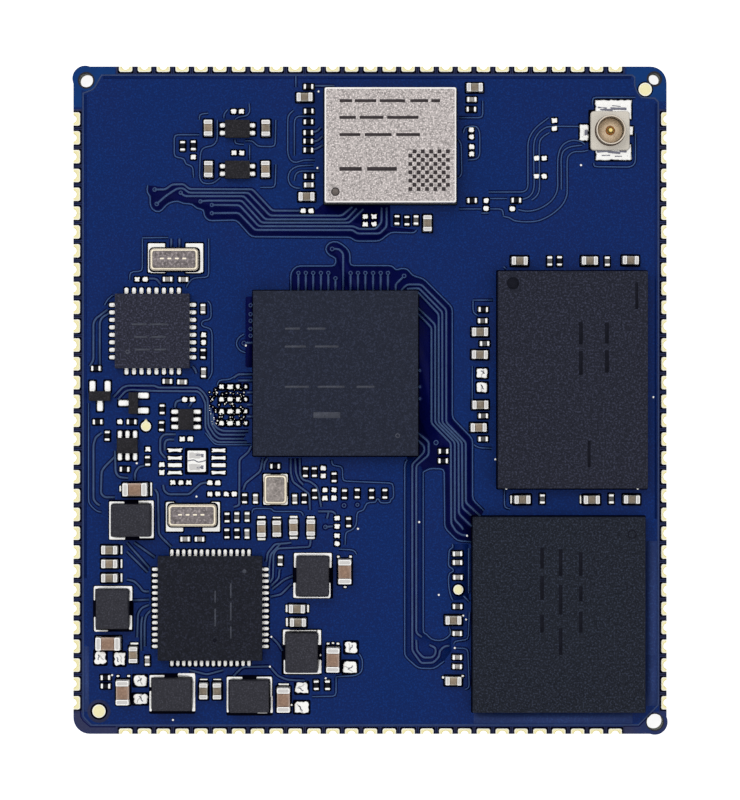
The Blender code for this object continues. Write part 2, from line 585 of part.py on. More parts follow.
def make_jack():
    """The coaxial jack: an insulator, the shell pressed through it and the centre contact."""
    channel = STRAP_THICKNESS + STAND_OFF + ASSEMBLY_GAP
    through = JACK_BASE_HEIGHT + 2 * channel
    half = JACK_SIZE / 2
    inner = JACK_RADIUS - JACK_WALL
    bridge = (2 * JACK_RADIUS + JACK_WALL, BRIDGE_WIDTH, through)
    slot_ring = tube_mesh("slot", JACK_RADIUS + ASSEMBLY_GAP, through, -channel)
    slot_core = tube_mesh("slot_core", inner - ASSEMBLY_GAP, 2 * through, -2 * channel)
    slot_bridge = block_mesh("slot_bridge", bridge, -channel)
    slot = combine("slot", slot_ring, [("DIFFERENCE", slot_core), ("DIFFERENCE", slot_bridge)])
    strap_room = (STRAP_WIDTH + 2 * ASSEMBLY_GAP, 2 * JACK_SIZE, channel + STAND_OFF)
    tail_room = (half + PIN_RADIUS + 2 * ASSEMBLY_GAP, TAIL_WIDTH + 2 * ASSEMBLY_GAP, channel + STAND_OFF)
    tail_middle = (PIN_RADIUS + ASSEMBLY_GAP - tail_room[0] / 2 + ASSEMBLY_GAP, 0.0)
    ring_floor = tube_mesh("ring_floor", inner - ASSEMBLY_GAP, channel + STAND_OFF, -STAND_OFF)
    strap_cut = combine(
        "strap_cut", block_mesh("strap_cut", strap_room, -STAND_OFF), [("DIFFERENCE", ring_floor)]
    )
    block = (JACK_SIZE, JACK_SIZE, JACK_BASE_HEIGHT - STAND_OFF)
    base = combine("jack_base", block_mesh("jack_base", block, STAND_OFF, corner=JACK_CORNER), [
        ("DIFFERENCE", slot),
        ("DIFFERENCE", strap_cut),
        ("DIFFERENCE", block_mesh("tail_cut", tail_room, -STAND_OFF, tail_middle)),
        ("DIFFERENCE", tube_mesh("pin_cut", PIN_RADIUS + ASSEMBLY_GAP, through, -channel, 16)),
    ])
    add_part("jack_base", base, JACK_PLACE, white_plastic)

    clear_bridge = (bridge[0], BRIDGE_WIDTH + 2 * ASSEMBLY_GAP, JACK_BASE_HEIGHT + 2 * ASSEMBLY_GAP)
    foot = (FOOT_LENGTH, FOOT_WIDTH, STRAP_THICKNESS)
    strap = (STRAP_WIDTH, half - inner + ASSEMBLY_GAP, STRAP_THICKNESS)
    steps = [
        ("DIFFERENCE", tube_mesh("bore", inner, 2 * JACK_HEIGHT, -channel)),
        ("DIFFERENCE", block_mesh("bridge_cut", clear_bridge, -ASSEMBLY_GAP)),
    ]
    for side in (-1, 1):
        foot_y = side * (half + ASSEMBLY_GAP + FOOT_WIDTH / 2)
        strap_y = side * (inner + JACK_WALL / 2 + strap[1] / 2)
        steps.append(("UNION", block_mesh("strap", strap, STAND_OFF, (0.0, strap_y))))
        steps.append(("UNION", block_mesh("foot", foot, STAND_OFF, (0.0, foot_y))))
    ring = tube_mesh("jack_shell", JACK_RADIUS, JACK_HEIGHT - STAND_OFF, STAND_OFF)
    add_part("jack_shell", combine("jack_shell", ring, steps), JACK_PLACE, tin)

    tail = (half + ASSEMBLY_GAP, TAIL_WIDTH, STRAP_THICKNESS)
    signal_foot = (SIGNAL_FOOT_WIDTH, SIGNAL_FOOT_LENGTH, STRAP_THICKNESS)
    signal_x = -(half + ASSEMBLY_GAP + SIGNAL_FOOT_WIDTH / 2)
    pin = tube_mesh("jack_contact", PIN_RADIUS, PIN_HEIGHT - STAND_OFF, STAND_OFF, 16)
    contact = combine("jack_contact", pin, [
        ("UNION", block_mesh("tail", tail, STAND_OFF, (-tail[0] / 2 - PIN_RADIUS / 2, 0.0))),
        ("UNION", block_mesh("signal_foot", signal_foot, STAND_OFF, (signal_x, 0.0))),
    ])
    add_part("jack_contact", contact, JACK_PLACE, gilt)


def make_small_packages():
    """The small packages with flat leads."""
    pairs = ((-SWITCH_PITCH / 2, SWITCH_PITCH / 2), (-GATE_PITCH, 0.0, GATE_PITCH))
    switch_leads = [(offset, side) for offset in pairs[0] for side in (-1, 1)]
    turned = (SWITCH_BODY[1], SWITCH_BODY[0], SWITCH_BODY[2])
    switch = lead_package_mesh("switch", turned, SWITCH_LEAD, switch_leads)
    switch.transform(Matrix.Rotation(math.radians(90), 4, "Z"))
    half = TRANSISTOR_PITCH / 2
    transistor = lead_package_mesh(
        "transistor", TRANSISTOR_BODY, TRANSISTOR_LEAD, [(-half, 1), (half, 1), (0.0, -1)]
    )
    gate_leads = [(offset, side) for offset in pairs[1] for side in (-1, 1)]
    gate = lead_package_mesh("gate", GATE_BODY, GATE_LEAD, gate_leads)
    for kind, mesh, places in (
        ("load_switch", switch, SWITCH_PLACES),
        ("transistor", transistor, TRANSISTOR_PLACES),
        ("logic_gate", gate, GATE_PLACES),
    ):
        for index, place in enumerate(places):
            add_part(f"{kind}_{index + 1}", mesh, place, moulding)


def make_chip_parts():
    """Inductors and the capacitors that are objects of their own. Like parts share one mesh."""
    large = chip_mesh("large_capacitor", LARGE_CHIP)
    small = chip_mesh("small_capacitor", SMALL_CHIP)
    inductor = inductor_mesh()
    for index, place in enumerate(INDUCTOR_PLACES):
        add_part(f"inductor_{index + 1}", inductor, place, ferrite)
    for index, place in enumerate(LARGE_CAPACITOR_PLACES):
        add_part(f"large_capacitor_{index + 1}", large, place, ceramic, tin)
    for index, place in enumerate(SMALL_CAPACITOR_PLACES[:SEPARATE_SMALL_CAPACITORS]):
        add_part(f"small_capacitor_{index + 1:02d}", small, place, ceramic, tin)


clear_scene()
parts = new_group("computer_module")
cutters = new_group("computer_module_cutters")
frame = bpy.data.objects.new("computer_module_frame", None)
parts.objects.link(frame)

solder_mask = finish("solder_mask", (0.010, 0.027, 0.140), 0.4)
moulding = finish("moulding", (0.030, 0.030, 0.038), 0.6)
ferrite = finish("ferrite", (0.042, 0.042, 0.052), 0.55)
ceramic = finish("ceramic", (0.250, 0.150, 0.095), 0.5)
white_plastic = finish("white_plastic", (0.62, 0.58, 0.53), 0.5)
laminate = finish("laminate", (0.10, 0.13, 0.06), 0.6)
tin = finish("tin", (0.78, 0.77, 0.75), 0.3, 1.0)
shield_metal = finish("shield_metal", (0.60, 0.57, 0.55), 0.35, 1.0)
gilt = finish("gilt", (0.80, 0.62, 0.36), 0.3, 1.0)
lid_metal = finish("lid_metal", (0.38, 0.36, 0.35), 0.35, 1.0)

make_board()
make_packages()
make_radio()
for number, crystal_place in enumerate(CRYSTAL_PLACES):
    make_crystal(f"crystal_{number + 1}", CRYSTAL_LENGTH, CRYSTAL_WIDTH, CRYSTAL_HEIGHT, crystal_place)
make_crystal("oscillator", OSCILLATOR_LENGTH, OSCILLATOR_WIDTH, OSCILLATOR_HEIGHT, OSCILLATOR_PLACE)
make_jack()
make_small_packages()
make_chip_parts()
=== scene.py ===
"""Looks of the castellated computer module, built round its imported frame.

The frame gives the places of the larger parts. The smallest chip parts, the bare pads and the
tracks are placed by the tables below, in millimetres from the middle of the board.
"""

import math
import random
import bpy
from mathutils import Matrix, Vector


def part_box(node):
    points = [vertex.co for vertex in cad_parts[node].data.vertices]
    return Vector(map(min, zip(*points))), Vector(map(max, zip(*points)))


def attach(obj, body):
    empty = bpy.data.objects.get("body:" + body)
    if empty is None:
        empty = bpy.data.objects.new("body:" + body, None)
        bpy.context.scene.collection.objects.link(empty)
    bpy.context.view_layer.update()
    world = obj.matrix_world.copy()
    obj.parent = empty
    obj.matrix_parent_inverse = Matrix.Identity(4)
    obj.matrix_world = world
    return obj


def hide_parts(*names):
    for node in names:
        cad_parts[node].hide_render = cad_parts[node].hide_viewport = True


bl_info = {
    "name": "Castellated computer module",
    "version": (1, 0, 0),
    "blender": (4, 5, 0),
    "location": "3D View > Sidebar > Module",
    "description": "Builds the board, its soldered parts and the stage round the packed frame",
    "category": "Object",
}

import bmesh
import bpy
from mathutils import Matrix, Vector

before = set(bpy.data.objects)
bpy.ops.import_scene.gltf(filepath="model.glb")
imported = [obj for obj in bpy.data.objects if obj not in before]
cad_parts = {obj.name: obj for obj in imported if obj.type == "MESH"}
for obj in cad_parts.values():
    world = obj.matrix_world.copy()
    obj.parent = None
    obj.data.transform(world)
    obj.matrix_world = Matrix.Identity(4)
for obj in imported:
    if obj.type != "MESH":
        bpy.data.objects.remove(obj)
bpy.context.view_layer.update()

MM = 0.001
TOP = 1.2
HALF_WIDTH = 20.0
HALF_LENGTH = 22.5
SHARP_ANGLE = math.radians(38)

# Layers on the board's faces, in millimetres above the mask
SHADE_LEVEL = 0.003
LINE_LEVEL = 0.012
PAD_LEVEL = 0.02
FACE_INSET = 0.02
# Thinner layers: the bands inside the plane's edge, the areas and strips without copper, and the
# patches of mask at the corners
BAND_LEVEL = 0.0004
AREA_LEVEL = 0.0011
STRIP_LEVEL = 0.0015
PATCH_LEVEL = 0.0014
# Steps that keep layers of one kind apart where they cross
AREA_STEP = 0.0001
LEVEL_STEP = 0.00002
# Where layers and pads begin, just inside the board
SUNK = -0.001
# Bottom and top of the lines on the upper and the lower face
LINE_LAYERS = ((TOP + SUNK, TOP + LINE_LEVEL), (FACE_INSET - LINE_LEVEL, FACE_INSET - SUNK))

# Edge pads and their half holes
PITCH = 1.27
END_COUNT = 27
SIDE_COUNT = 32
END_SHIFT = 0.03
SIDE_SHIFT = -0.72
NOTCH_RADIUS = 0.28
NOTCH_OUT = 0.06
NOTCH_STEPS = 8
PAD_RIM = 0.06
LEFT_PAD_EXTRA = 0.09
# Shaded bands just inside the plane's outer edge, as left, bottom, right and top edges
PLANE_SHADES = (
    (-19.34, -12.0, -19.1, 20.6), (19.2, -8.0, 19.44, 20.0), (-18.0, 21.66, 17.6, 21.92),
)
# Bands of painted sheen inside the plane's outer edge near the lower corners
PLANE_SHEENS = (
    (18.62, -20.6, 19.38, -9.5), (-19.28, -21.0, -18.95, -16.6), (7.0, -21.82, 17.7, -21.1),
    (18.64, -20.6, 19.36, -17.2),
)
# Dark lines just outside the plane's edge
OUTER_SEAMS = (
    ((-19.53, -20.95), (-19.5, -21.36), (-19.34, -21.62), (-18.86, -22.03), (-17.15, -22.03)),
    ((17.1, -21.98), (18.15, -21.98), (19.1, -21.03)),
)
CORNER_RADIUS = 1.1
EAR_RADIUS = 0.862
EAR_INSET = (0.79, 0.80)
# How far a round corner reaches along each edge
CORNER_ZONE = (1.7, 1.35)
# x, y, radius of the hole, radius of the ring round it
CORNER_HOLES = ((-19.14, 21.57, 0.46, 0.57), (19.18, 21.66, 0.38, 0.52), (19.21, -21.70, 0.545, 0.62))

# Chip parts: half length, half width, height, terminal length
LARGE_CHIP = (0.82, 0.44, 0.85, 0.38)
SMALL_CHIP = (0.53, 0.28, 0.55, 0.28)
TINY_CAPACITOR = (0.31, 0.155, 0.33, 0.15)
TINY_RESISTOR = (0.31, 0.155, 0.26, 0.135)

FUSED_CAPACITOR_PLACES = (
    (10.08, 9.38, 0), (14.80, 9.39, 0), (17.55, 9.42, 0), (10.26, -6.69, 0),
    (14.93, -6.70, 0), (17.63, -6.68, 0), (5.62, -14.82, 0), (5.62, -18.91, 0),
)
TINY_CAPACITOR_PLACES = (
    (-4.13, 14.49, 0), (6.87, 20.26, 0), (3.10, 12.15, 90), (12.11, 9.38, 90), (16.00, 9.37, 90),
    (7.60, 5.35, 0), (7.73, 3.83, 0), (7.63, -1.06, 0), (7.61, -2.61, 0), (-13.63, 8.15, 0),
    (-12.57, 8.15, 0), (-11.26, 6.16, 90), (-11.22, 1.86, 90), (-13.65, 1.26, 0), (-12.65, 1.24, 0),
    (-12.45, -9.36, 0), (-11.48, -9.36, 0), (-7.71, -6.65, 90), (-5.06, -6.65, 90),
    (-8.98, -7.88, 90), (-8.28, -7.88, 90), (-8.30, -9.00, 90), (-6.03, -10.82, 90),
    (5.89, -10.35, 0), (5.89, -10.95, 0), (5.91, -11.94, 0), (5.89, -13.90, 0), (5.89, -15.72, 0),
    (5.87, -17.34, 0), (5.89, -17.95, 0), (11.61, -6.66, 90), (16.26, -6.66, 90), (-15.00, -17.57, 90),
)
TINY_RESISTOR_PLACES = (
    (-12.64, 17.13, 90), (-11.91, 17.16, 90), (-4.13, 21.14, 0), (-4.13, 19.48, 0), (-4.15, 18.77, 0),
    (-4.15, 18.03, 0), (-4.15, 17.44, 0), (-4.15, 16.85, 0), (-4.11, 15.09, 0), (6.82, 19.62, 0),
    (6.87, 13.47, 0), (9.87, 13.47, 0), (1.82, 12.15, 90), (2.48, 12.10, 90), (12.77, 9.38, 90),
    (7.64, 6.10, 0), (4.94, -3.45, 0), (4.92, -4.09, 0), (-11.24, 3.13, 90), (-18.46, 2.13, 0),
    (-18.35, -1.46, 0), (-16.06, -1.46, 0), (-17.70, -2.39, 90), (-14.00, -0.62, 90),
    (-14.04, -1.75, 90), (-14.99, -4.09, 90), (-6.39, -4.46, 0), (-16.55, -4.66, 0),
    (-8.46, -6.62, 90), (-4.42, -6.64, 90), (-9.64, -7.90, 90), (-9.64, -8.98, 90),
    (-8.97, -8.98, 90), (-4.36, -4.84, 90), (-3.75, -4.83, 90), (-2.42, -5.20, 90),
    (-3.74, -6.33, 90), (-1.72, -6.33, 90), (-0.85, -6.30, 90), (0.11, -6.31, 90),
    (1.00, -6.32, 90), (-1.44, -8.23, 90), (-17.84, -18.69, 0), (-17.83, -19.28, 0),
    (-3.62, -19.21, 90), (-2.85, -19.20, 90),
)

# Which tiny capacitors, by their order above, are dark, and which small ones and fused ones are tan
SLATE_CAPACITORS = (2, 3, 4, 5, 6, 7, 8, 13, 19, 20, 22, 26, 30, 31)
TAN_CAPACITORS = (1, 4, 12, 14, 16, 17, 19, 20)
TAN_FUSED_CAPACITORS = (7,)
# Where each random draw starts
PAD_SEED, TINY_PART_SEED, CAPACITOR_SEED, JACK_SEED = 11, 23, 37, 17

SMALL_PAD = (0.18, 0.165)
SMALL_PAD_PLACES = (
    (-11.91, 16.39), (-16.87, -1.46), (-14.99, -3.30), (9.59, 12.92), (-9.20, 19.47), (-8.67, 19.47),
    (-9.17, 16.68), (-8.64, 16.68), (11.23, 16.32), (11.75, 16.32), (11.22, 15.10), (11.75, 15.10),
    (-15.70, 8.15), (-15.15, 8.15), (-4.50, 12.77), (-3.98, 12.77), (-12.50, 0.05), (-11.97, 0.05),
    (-12.67, -2.61), (-12.12, -2.61), (-10.80, -5.56), (-10.26, -5.58), (6.83, 18.25), (6.83, 17.76),
    (6.85, 17.10), (6.85, 16.60), (12.44, 18.87), (12.44, 18.32), (-0.32, 12.39), (-0.32, 11.87),
    (0.27, 12.39), (0.27, 11.87), (7.83, 13.46), (7.83, 12.94), (-11.22, 4.41), (-11.22, 3.90),
    (-14.04, -4.35), (-14.04, -4.88), (-13.30, -5.55), (-12.76, -5.55), (-12.22, -5.55),
    (-10.80, -6.33), (-10.26, -6.32), (-9.69, -6.33), (-9.15, -6.33), (-3.16, -4.57), (-3.16, -5.10),
    (-3.04, -6.05), (-3.04, -6.60), (-2.43, -6.05), (-2.43, -6.59), (-2.22, -7.96), (-2.22, -8.51),
    (-2.22, -9.14), (-2.22, -9.67),
)
PAD_GRID_COLUMNS = (-10.01, -9.43, -8.90, -8.37)
PAD_GRID_ROWS = (0.91, 0.06, -0.75, -1.55)
PAD_GRID_SIZES = ((0.16, 0.15), (0.19, 0.15), (0.13, 0.15), (0.10, 0.12))
# x, y, half size along x, half size along y
LARGE_PAD_PLACES = (
    (7.56, 1.82, 0.355, 0.32), (7.56, 0.86, 0.355, 0.32), (-15.50, -18.91, 0.435, 0.36),
    (-15.48, -20.15, 0.49, 0.34), (-18.18, -17.36, 0.38, 0.45), (-16.88, -17.45, 0.37, 0.435),
    (-1.28, -16.67, 0.425, 0.375), (-1.35, -18.00, 0.475, 0.41), (-4.60, -19.40, 0.415, 0.37),
    (-4.61, -20.70, 0.485, 0.39),
)
CENTRE_PAD = (-11.69, -4.12, 0.71, 0.81)
# Rough places on the centre pad, in painted shade: x and y from its middle, half sizes, and 1 for
# grey or 2 for dark
CENTRE_PAD_MARKS = (
    (-0.12, 0.4, 0.42, 0.24, 1), (-0.12, -0.4, 0.44, 0.24, 1), (0.2, 0.43, 0.3, 0.06, 2),
    (0.38, 0.38, 0.1, 0.13, 2), (0.22, -0.42, 0.26, 0.08, 2), (0.38, -0.4, 0.1, 0.15, 2),
)
EMPTY_LAND = (0.475, 0.13)
EMPTY_LAND_COLUMNS = (-13.16, -10.21)
EMPTY_LAND_ROWS = (-3.38, -3.89, -4.38, -4.89)
# Drops of solder thrown over the grid of pads: left, bottom, right and top edges, and how many
SPLASH_FIELD = (-10.85, -1.7, -8.5, 0.85)
SPLASH_COUNT = 80
# x, y, radius, radius of the clearance round it
ROUND_PAD_PLACES = (
    (18.56, 20.96, 0.45, 0.54), (-18.28, -20.97, 0.45, 0.58), (-15.11, -1.76, 0.34, 0.46),
    (5.96, -12.78, 0.34, 0.46),
)
# x, y, half size along x, half size along y: bits of solder beyond the parts' ends
SOLDER_BIT_PLACES = (
    (-14.76, -6.01, 0.06, 0.46), (-16.76, -10.09, 0.06, 0.3), (-16.76, -11.02, 0.06, 0.3),
    (-16.76, -11.98, 0.06, 0.3), (-7.31, -7.9, 0.27, 0.08), (-7.31, -9.36, 0.27, 0.08),
    (-6.28, -7.92, 0.28, 0.05), (-5.15, -7.88, 0.27, 0.08), (-5.15, -9.28, 0.27, 0.08),
    (-3.99, -7.9, 0.26, 0.07), (-3.99, -9.28, 0.27, 0.08), (-15.89, -16.41, 0.27, 0.07),
    (-11.22, -18.83, 0.27, 0.04), (-10.30, -18.83, 0.27, 0.04), (-16.99, -18.6, 0.1, 0.07),
    (-16.27, -18.6, 0.1, 0.07), (-2.83, -16.42, 0.1, 0.07), (-2.50, -16.38, 0.08, 0.06),
    (-2.16, -16.42, 0.1, 0.07), (-5.83, -19.16, 0.35, 0.06), (-5.3, -20.55, 0.07, 0.07),
    (-2.14, -10.56, 0.09, 0.08), (-1.31, -10.55, 0.09, 0.08), (-1.68, -12.6, 0.1, 0.06),
    (9.52, -6.69, 0.06, 0.28), (14.2, -6.70, 0.05, 0.28), (-5.6, -14.97, 0.07, 0.28),
    (-5.62, -14.05, 0.07, 0.26), (-4.18, -14.05, 0.07, 0.26), (4.94, -18.7, 0.08, 0.08),
    (6.26, -18.6, 0.09, 0.07), (-16.83, -5.96, 0.06, 0.2),
)

# Short tracks above the processor, each with a via at its upper end, and the shortest of them
STUB_COLUMNS = (-4.83, -4.33, -3.83, -3.31, -2.81, -2.33, -1.31, -0.81, -0.31, 0.21, 0.72, 1.21)
SHORTER_STUB = -2.33
# How much the bends of the tracks and of the inner plane edges are rounded
TRACK_BEND = 0.15
EDGE_BEND = 0.25
# Widths of the gap beside an inner plane edge, of the plane's outer edge and of a seam outside it
EDGE_GAP_WIDTH = 0.24
OUTER_LINE_WIDTH = 0.1
SEAM_WIDTH = 0.07
# Tracks wholly left of this x and below this y have a softer gap
SOFT_FIELD = (-10.0, 8.0)
# Width of a via's ring, and of the gap round it
VIA_RIM = 0.06
VIA_GAP = 0.1
# Tracks under the mask
TRACKS = (
    ((-14.52, 14.21), (-13.8, 14.21), (-13.35, 14.55), (-12.55, 14.57), (-12.2, 14.24), (-7.93, 14.23),
     (-6.58, 12.78), (-4.7, 12.78)),
    ((-14.38, 13.24), (-13.74, 13.8), (-13.0, 14.28), (-12.6, 14.3), (-12.22, 13.99), (-8.2, 13.99),
     (-6.75, 12.45), (-1.9, 12.45), (-1.2, 13.05)),
    ((-12.76, 13.99), (-12.5, 13.76), (-8.5, 13.76), (-7.05, 12.19), (-1.6, 12.19), (-0.9, 12.95)),
    ((-11.43, 13.41), (-11.0, 13.46), (-8.65, 13.46), (-7.3, 11.97), (-1.4, 11.97), (-0.45, 12.9)),
    ((-10.66, 13.17), (-8.8, 13.15), (-7.5, 11.73), (-1.1, 11.73), (-0.75, 11.55), (0.4, 11.55),
     (0.78, 12.0), (0.78, 13.0)),
    ((-10.66, 12.61), (-8.85, 12.63), (-7.75, 11.48), (-1.15, 11.48), (-0.87, 11.24), (0.65, 11.24),
     (1.12, 11.7), (1.12, 13.0)),
    *(((x, 7.3), (x, 8.15 if x == SHORTER_STUB else 8.5)) for x in STUB_COLUMNS),
    ((-1.81, 7.3), (-1.81, 9.9), (-2.1, 10.2), (-2.45, 10.2)), ((1.75, 7.3), (1.72, 7.8), (2.2, 8.28)),
    ((3.2, 5.85), (4.14, 4.9), (4.14, -1.55), (5.45, -2.9), (5.48, -8.33), (5.82, -8.87), (6.23, -9.1),
     (6.63, -9.12)),
    ((3.2, 6.25), (4.39, 5.1), (4.39, -1.5), (5.72, -2.85), (5.72, -8.06), (6.15, -8.5), (6.3, -8.73)),
    ((3.2, 7.3), (4.63, 5.8), (4.63, -1.5), (5.97, -2.85), (5.99, -7.65), (6.56, -8.22), (6.87, -8.5)),
    ((2.5, 7.5), (3.3, 7.55), (4.87, 5.95), (4.87, -1.5), (6.21, -2.85), (6.23, -7.25), (6.83, -7.78)),
    ((2.1, 7.4), (2.5, 7.8), (3.45, 7.8), (5.14, 6.1), (5.14, -1.5), (6.46, -2.85), (6.46, -6.9),
     (7.44, -7.82)),
    ((3.2, -2.2), (3.95, -2.8), (3.95, -3.7), (3.12, -4.4), (3.12, -15.7), (3.5, -15.97)),
    ((3.2, -2.7), (3.65, -3.1), (3.65, -3.5), (2.85, -4.3), (2.85, -16.88), (3.45, -17.73),
     (4.27, -17.7), (4.67, -17.29), (4.7, -16.9), (5.0, -16.6), (5.35, -16.55)),
    ((3.12, -16.15), (3.15, -16.88), (3.59, -17.36), (4.2, -17.36), (4.43, -17.1), (4.43, -16.7),
     (4.0, -16.5)),
    ((-8.0, -3.1), (-8.2, -3.5), (-8.8, -4.0), (-8.82, -7.1), (-9.2, -7.2)),
    ((-7.22, -3.9), (-7.4, -4.8), (-8.4, -5.6), (-8.55, -6.05)), ((-6.9, -3.9), (-7.1, -4.2), (-7.15, -4.7)),
    ((-5.35, -3.9), (-5.35, -4.9), (-5.2, -5.5), (-4.6, -5.95), (-4.1, -6.3), (-4.05, -7.4)),
    ((-5.05, -3.9), (-5.0, -4.9), (-4.8, -5.4), (-4.5, -5.7)),
    ((-4.75, -3.9), (-4.7, -5.1), (-4.5, -5.4), (-4.1, -5.45), (-3.6, -5.8), (-3.45, -6.3), (-3.3, -7.2)),
    ((-5.3, -9.6), (-5.6, -9.65), (-6.4, -9.7), (-6.9, -10.3), (-7.0, -10.9)),
    ((-4.0, -9.4), (-4.05, -9.9), (-6.25, -10.0), (-6.5, -10.35), (-6.55, -12.0), (-6.75, -12.3)),
    ((-6.05, -9.7), (-6.7, -10.4), (-6.8, -11.2), (-6.8, -12.2)),
    ((-6.1, -11.4), (-6.15, -12.0), (-6.65, -12.5)), ((-5.2, -11.85), (-5.8, -12.1), (-6.6, -12.75)),
    ((-5.3, -12.4), (-6.0, -13.1), (-6.7, -13.25)), ((-3.5, -7.5), (-2.5, -7.5), (-2.3, -7.7)),
    ((-3.0, -8.55), (-2.5, -8.5)), ((-2.8, -7.55), (-2.9, -8.0)),
    ((-13.95, -5.7), (-13.9, -6.1), (-13.6, -6.35), (-12.2, -6.35), (-11.4, -5.6), (-10.9, -5.55)),
    ((-15.2, -4.4), (-15.6, -4.5), (-15.85, -4.9), (-15.85, -5.4)),
    ((-18.1, -2.2), (-18.5, -2.5), (-18.65, -3.0), (-18.65, -6.7), (-18.4, -7.0), (-18.2, -7.1)),
    ((-17.2, -3.8), (-17.9, -4.5), (-18.1, -4.8), (-18.15, -6.3), (-17.9, -6.55), (-17.2, -6.55)),
    ((-17.2, -3.4), (-17.15, -4.9), (-16.9, -5.2), (-16.3, -5.25)),
    ((-14.5, -6.0), (-14.3, -6.3), (-14.25, -9.0), (-14.0, -9.3), (-13.4, -9.9)),
    ((-13.1, -2.3), (-13.9, -2.3), (-14.15, -2.6), (-14.15, -3.5), (-13.8, -3.9)),
    ((-13.2, -2.65), (-13.7, -2.65), (-13.85, -2.85), (-13.85, -3.4)),
    ((-12.6, 0.05), (-13.1, -0.1), (-13.15, -0.5)), ((-12.0, -0.1), (-12.2, -0.45)),
    ((-16.4, -9.6), (-14.9, -11.3)), ((-15.9, -9.6), (-14.5, -10.6)), ((-16.4, -10.2), (-15.0, -11.6)),
    ((-16.4, -12.1), (-15.9, -12.2), (-15.5, -12.6), (-15.3, -12.9), (-14.9, -12.9)),
    ((-14.9, -13.8), (-15.4, -14.0), (-15.65, -14.4), (-15.7, -16.0)),
    ((-14.8, -14.2), (-15.1, -14.5), (-15.2, -15.0), (-15.2, -16.6)),
    ((-15.35, -14.6), (-15.43, -15.0), (-15.43, -16.9)), ((-16.0, -13.5), (-14.9, -13.45)),
    ((-17.3, 0.2), (-16.7, 0.85), (-16.4, 0.98), (-14.5, 0.98), (-14.3, 0.85), (-11.6, 0.85), (-11.25, 0.55),
     (-10.95, 0.1), (-10.9, -1.7), (-10.5, -2.35), (-10.2, -2.6), (-8.5, -2.6)),
    ((-17.0, 0.05), (-16.5, 0.6), (-16.2, 0.7), (-14.2, 0.62), (-11.6, 0.6), (-11.35, 0.35), (-11.1, -0.2),
     (-11.1, -1.85), (-10.65, -2.6), (-10.3, -2.83), (-8.3, -2.83)),
    ((-10.75, -0.5), (-10.7, -1.6), (-10.4, -2.1), (-10.1, -2.33), (-8.4, -2.33)),
    ((-10.6, -0.9), (-10.55, -1.6), (-10.3, -1.9), (-9.9, -2.08), (-8.2, -2.08)),
    ((-7.9, 1.75), (-8.9, 1.75), (-9.2, 1.5)), ((-7.9, 1.33), (-8.9, 1.33)), ((-7.9, 0.52), (-8.3, 0.52)),
    ((-7.9, -0.3), (-8.3, -0.3)), ((-7.9, -1.1), (-8.3, -1.1)), ((-7.9, 3.87), (-8.4, 3.87)),
    ((-13.4, 10.9), (-13.4, 10.3)), ((-12.85, 10.9), (-12.85, 10.3)),
    ((-14.9, 8.2), (-14.4, 8.2), (-14.1, 7.8)),
    ((-17.7, 6.1), (-18.5, 5.5), (-18.65, 5.2), (-18.65, 2.7), (-18.9, 2.3)),
    ((-17.6, 5.85), (-18.05, 5.6), (-18.22, 5.3), (-18.22, 2.4)), ((-12.0, 2.3), (-11.8, 2.1), (-11.7, 1.8)),
    ((-3.8, 16.9), (-3.5, 17.0), (-3.2, 17.2)), ((-3.8, 17.45), (-3.5, 17.5), (-3.2, 17.8)),
    ((-3.9, 18.1), (-3.6, 18.1), (-3.3, 18.4)), ((-3.7, 21.2), (-2.4, 21.2)),
    ((-9.2, -18.6), (-8.6, -18.0), (-6.8, -17.95)), ((-12.2, -18.2), (-11.0, -18.5), (-9.9, -18.2)),
    ((-6.65, -15.96), (-6.2, -16.4), (-5.9, -16.9)),
    ((-6.75, -17.97), (-6.2, -18.6), (-5.6, -18.85), (-4.4, -18.9)),
)
# Tracks that bend smoothly
CURVED_TRACKS = (
    ((10.3, 13.55), (10.75, 13.75), (11.05, 14.3), (11.05, 15.6), (11.05, 17.2), (11.25, 17.85), (11.7, 18.3),
     (12.3, 18.46), (14.1, 18.46)),
    ((10.9, 13.5), (11.25, 13.8), (11.42, 14.3), (11.42, 15.6), (11.42, 17.2), (11.6, 17.7), (12.1, 18.05)),
    ((12.9, 14.2), (12.9, 15.4), (12.9, 16.3), (13.05, 16.8), (13.5, 17.08), (14.3, 17.2)),
    ((10.0, 12.85), (10.6, 12.75), (11.3, 12.87), (12.0, 13.25), (12.45, 13.75), (12.65, 14.35),
     (12.65, 15.4), (12.7, 16.5), (13.0, 17.2), (13.6, 17.52), (14.2, 17.45), (14.5, 17.25)),
    ((9.0, 12.4), (9.4, 12.3), (9.8, 12.1), (10.6, 12.03), (11.4, 12.12), (12.2, 12.5), (12.9, 13.1),
     (13.25, 13.75), (13.3, 14.4), (13.3, 16.1), (13.45, 16.55), (13.8, 16.75), (14.3, 16.77), (14.7, 16.85)),
    ((-8.4, 3.2), (-8.8, 3.4), (-9.0, 3.8), (-8.85, 4.2), (-8.5, 4.45)),
)
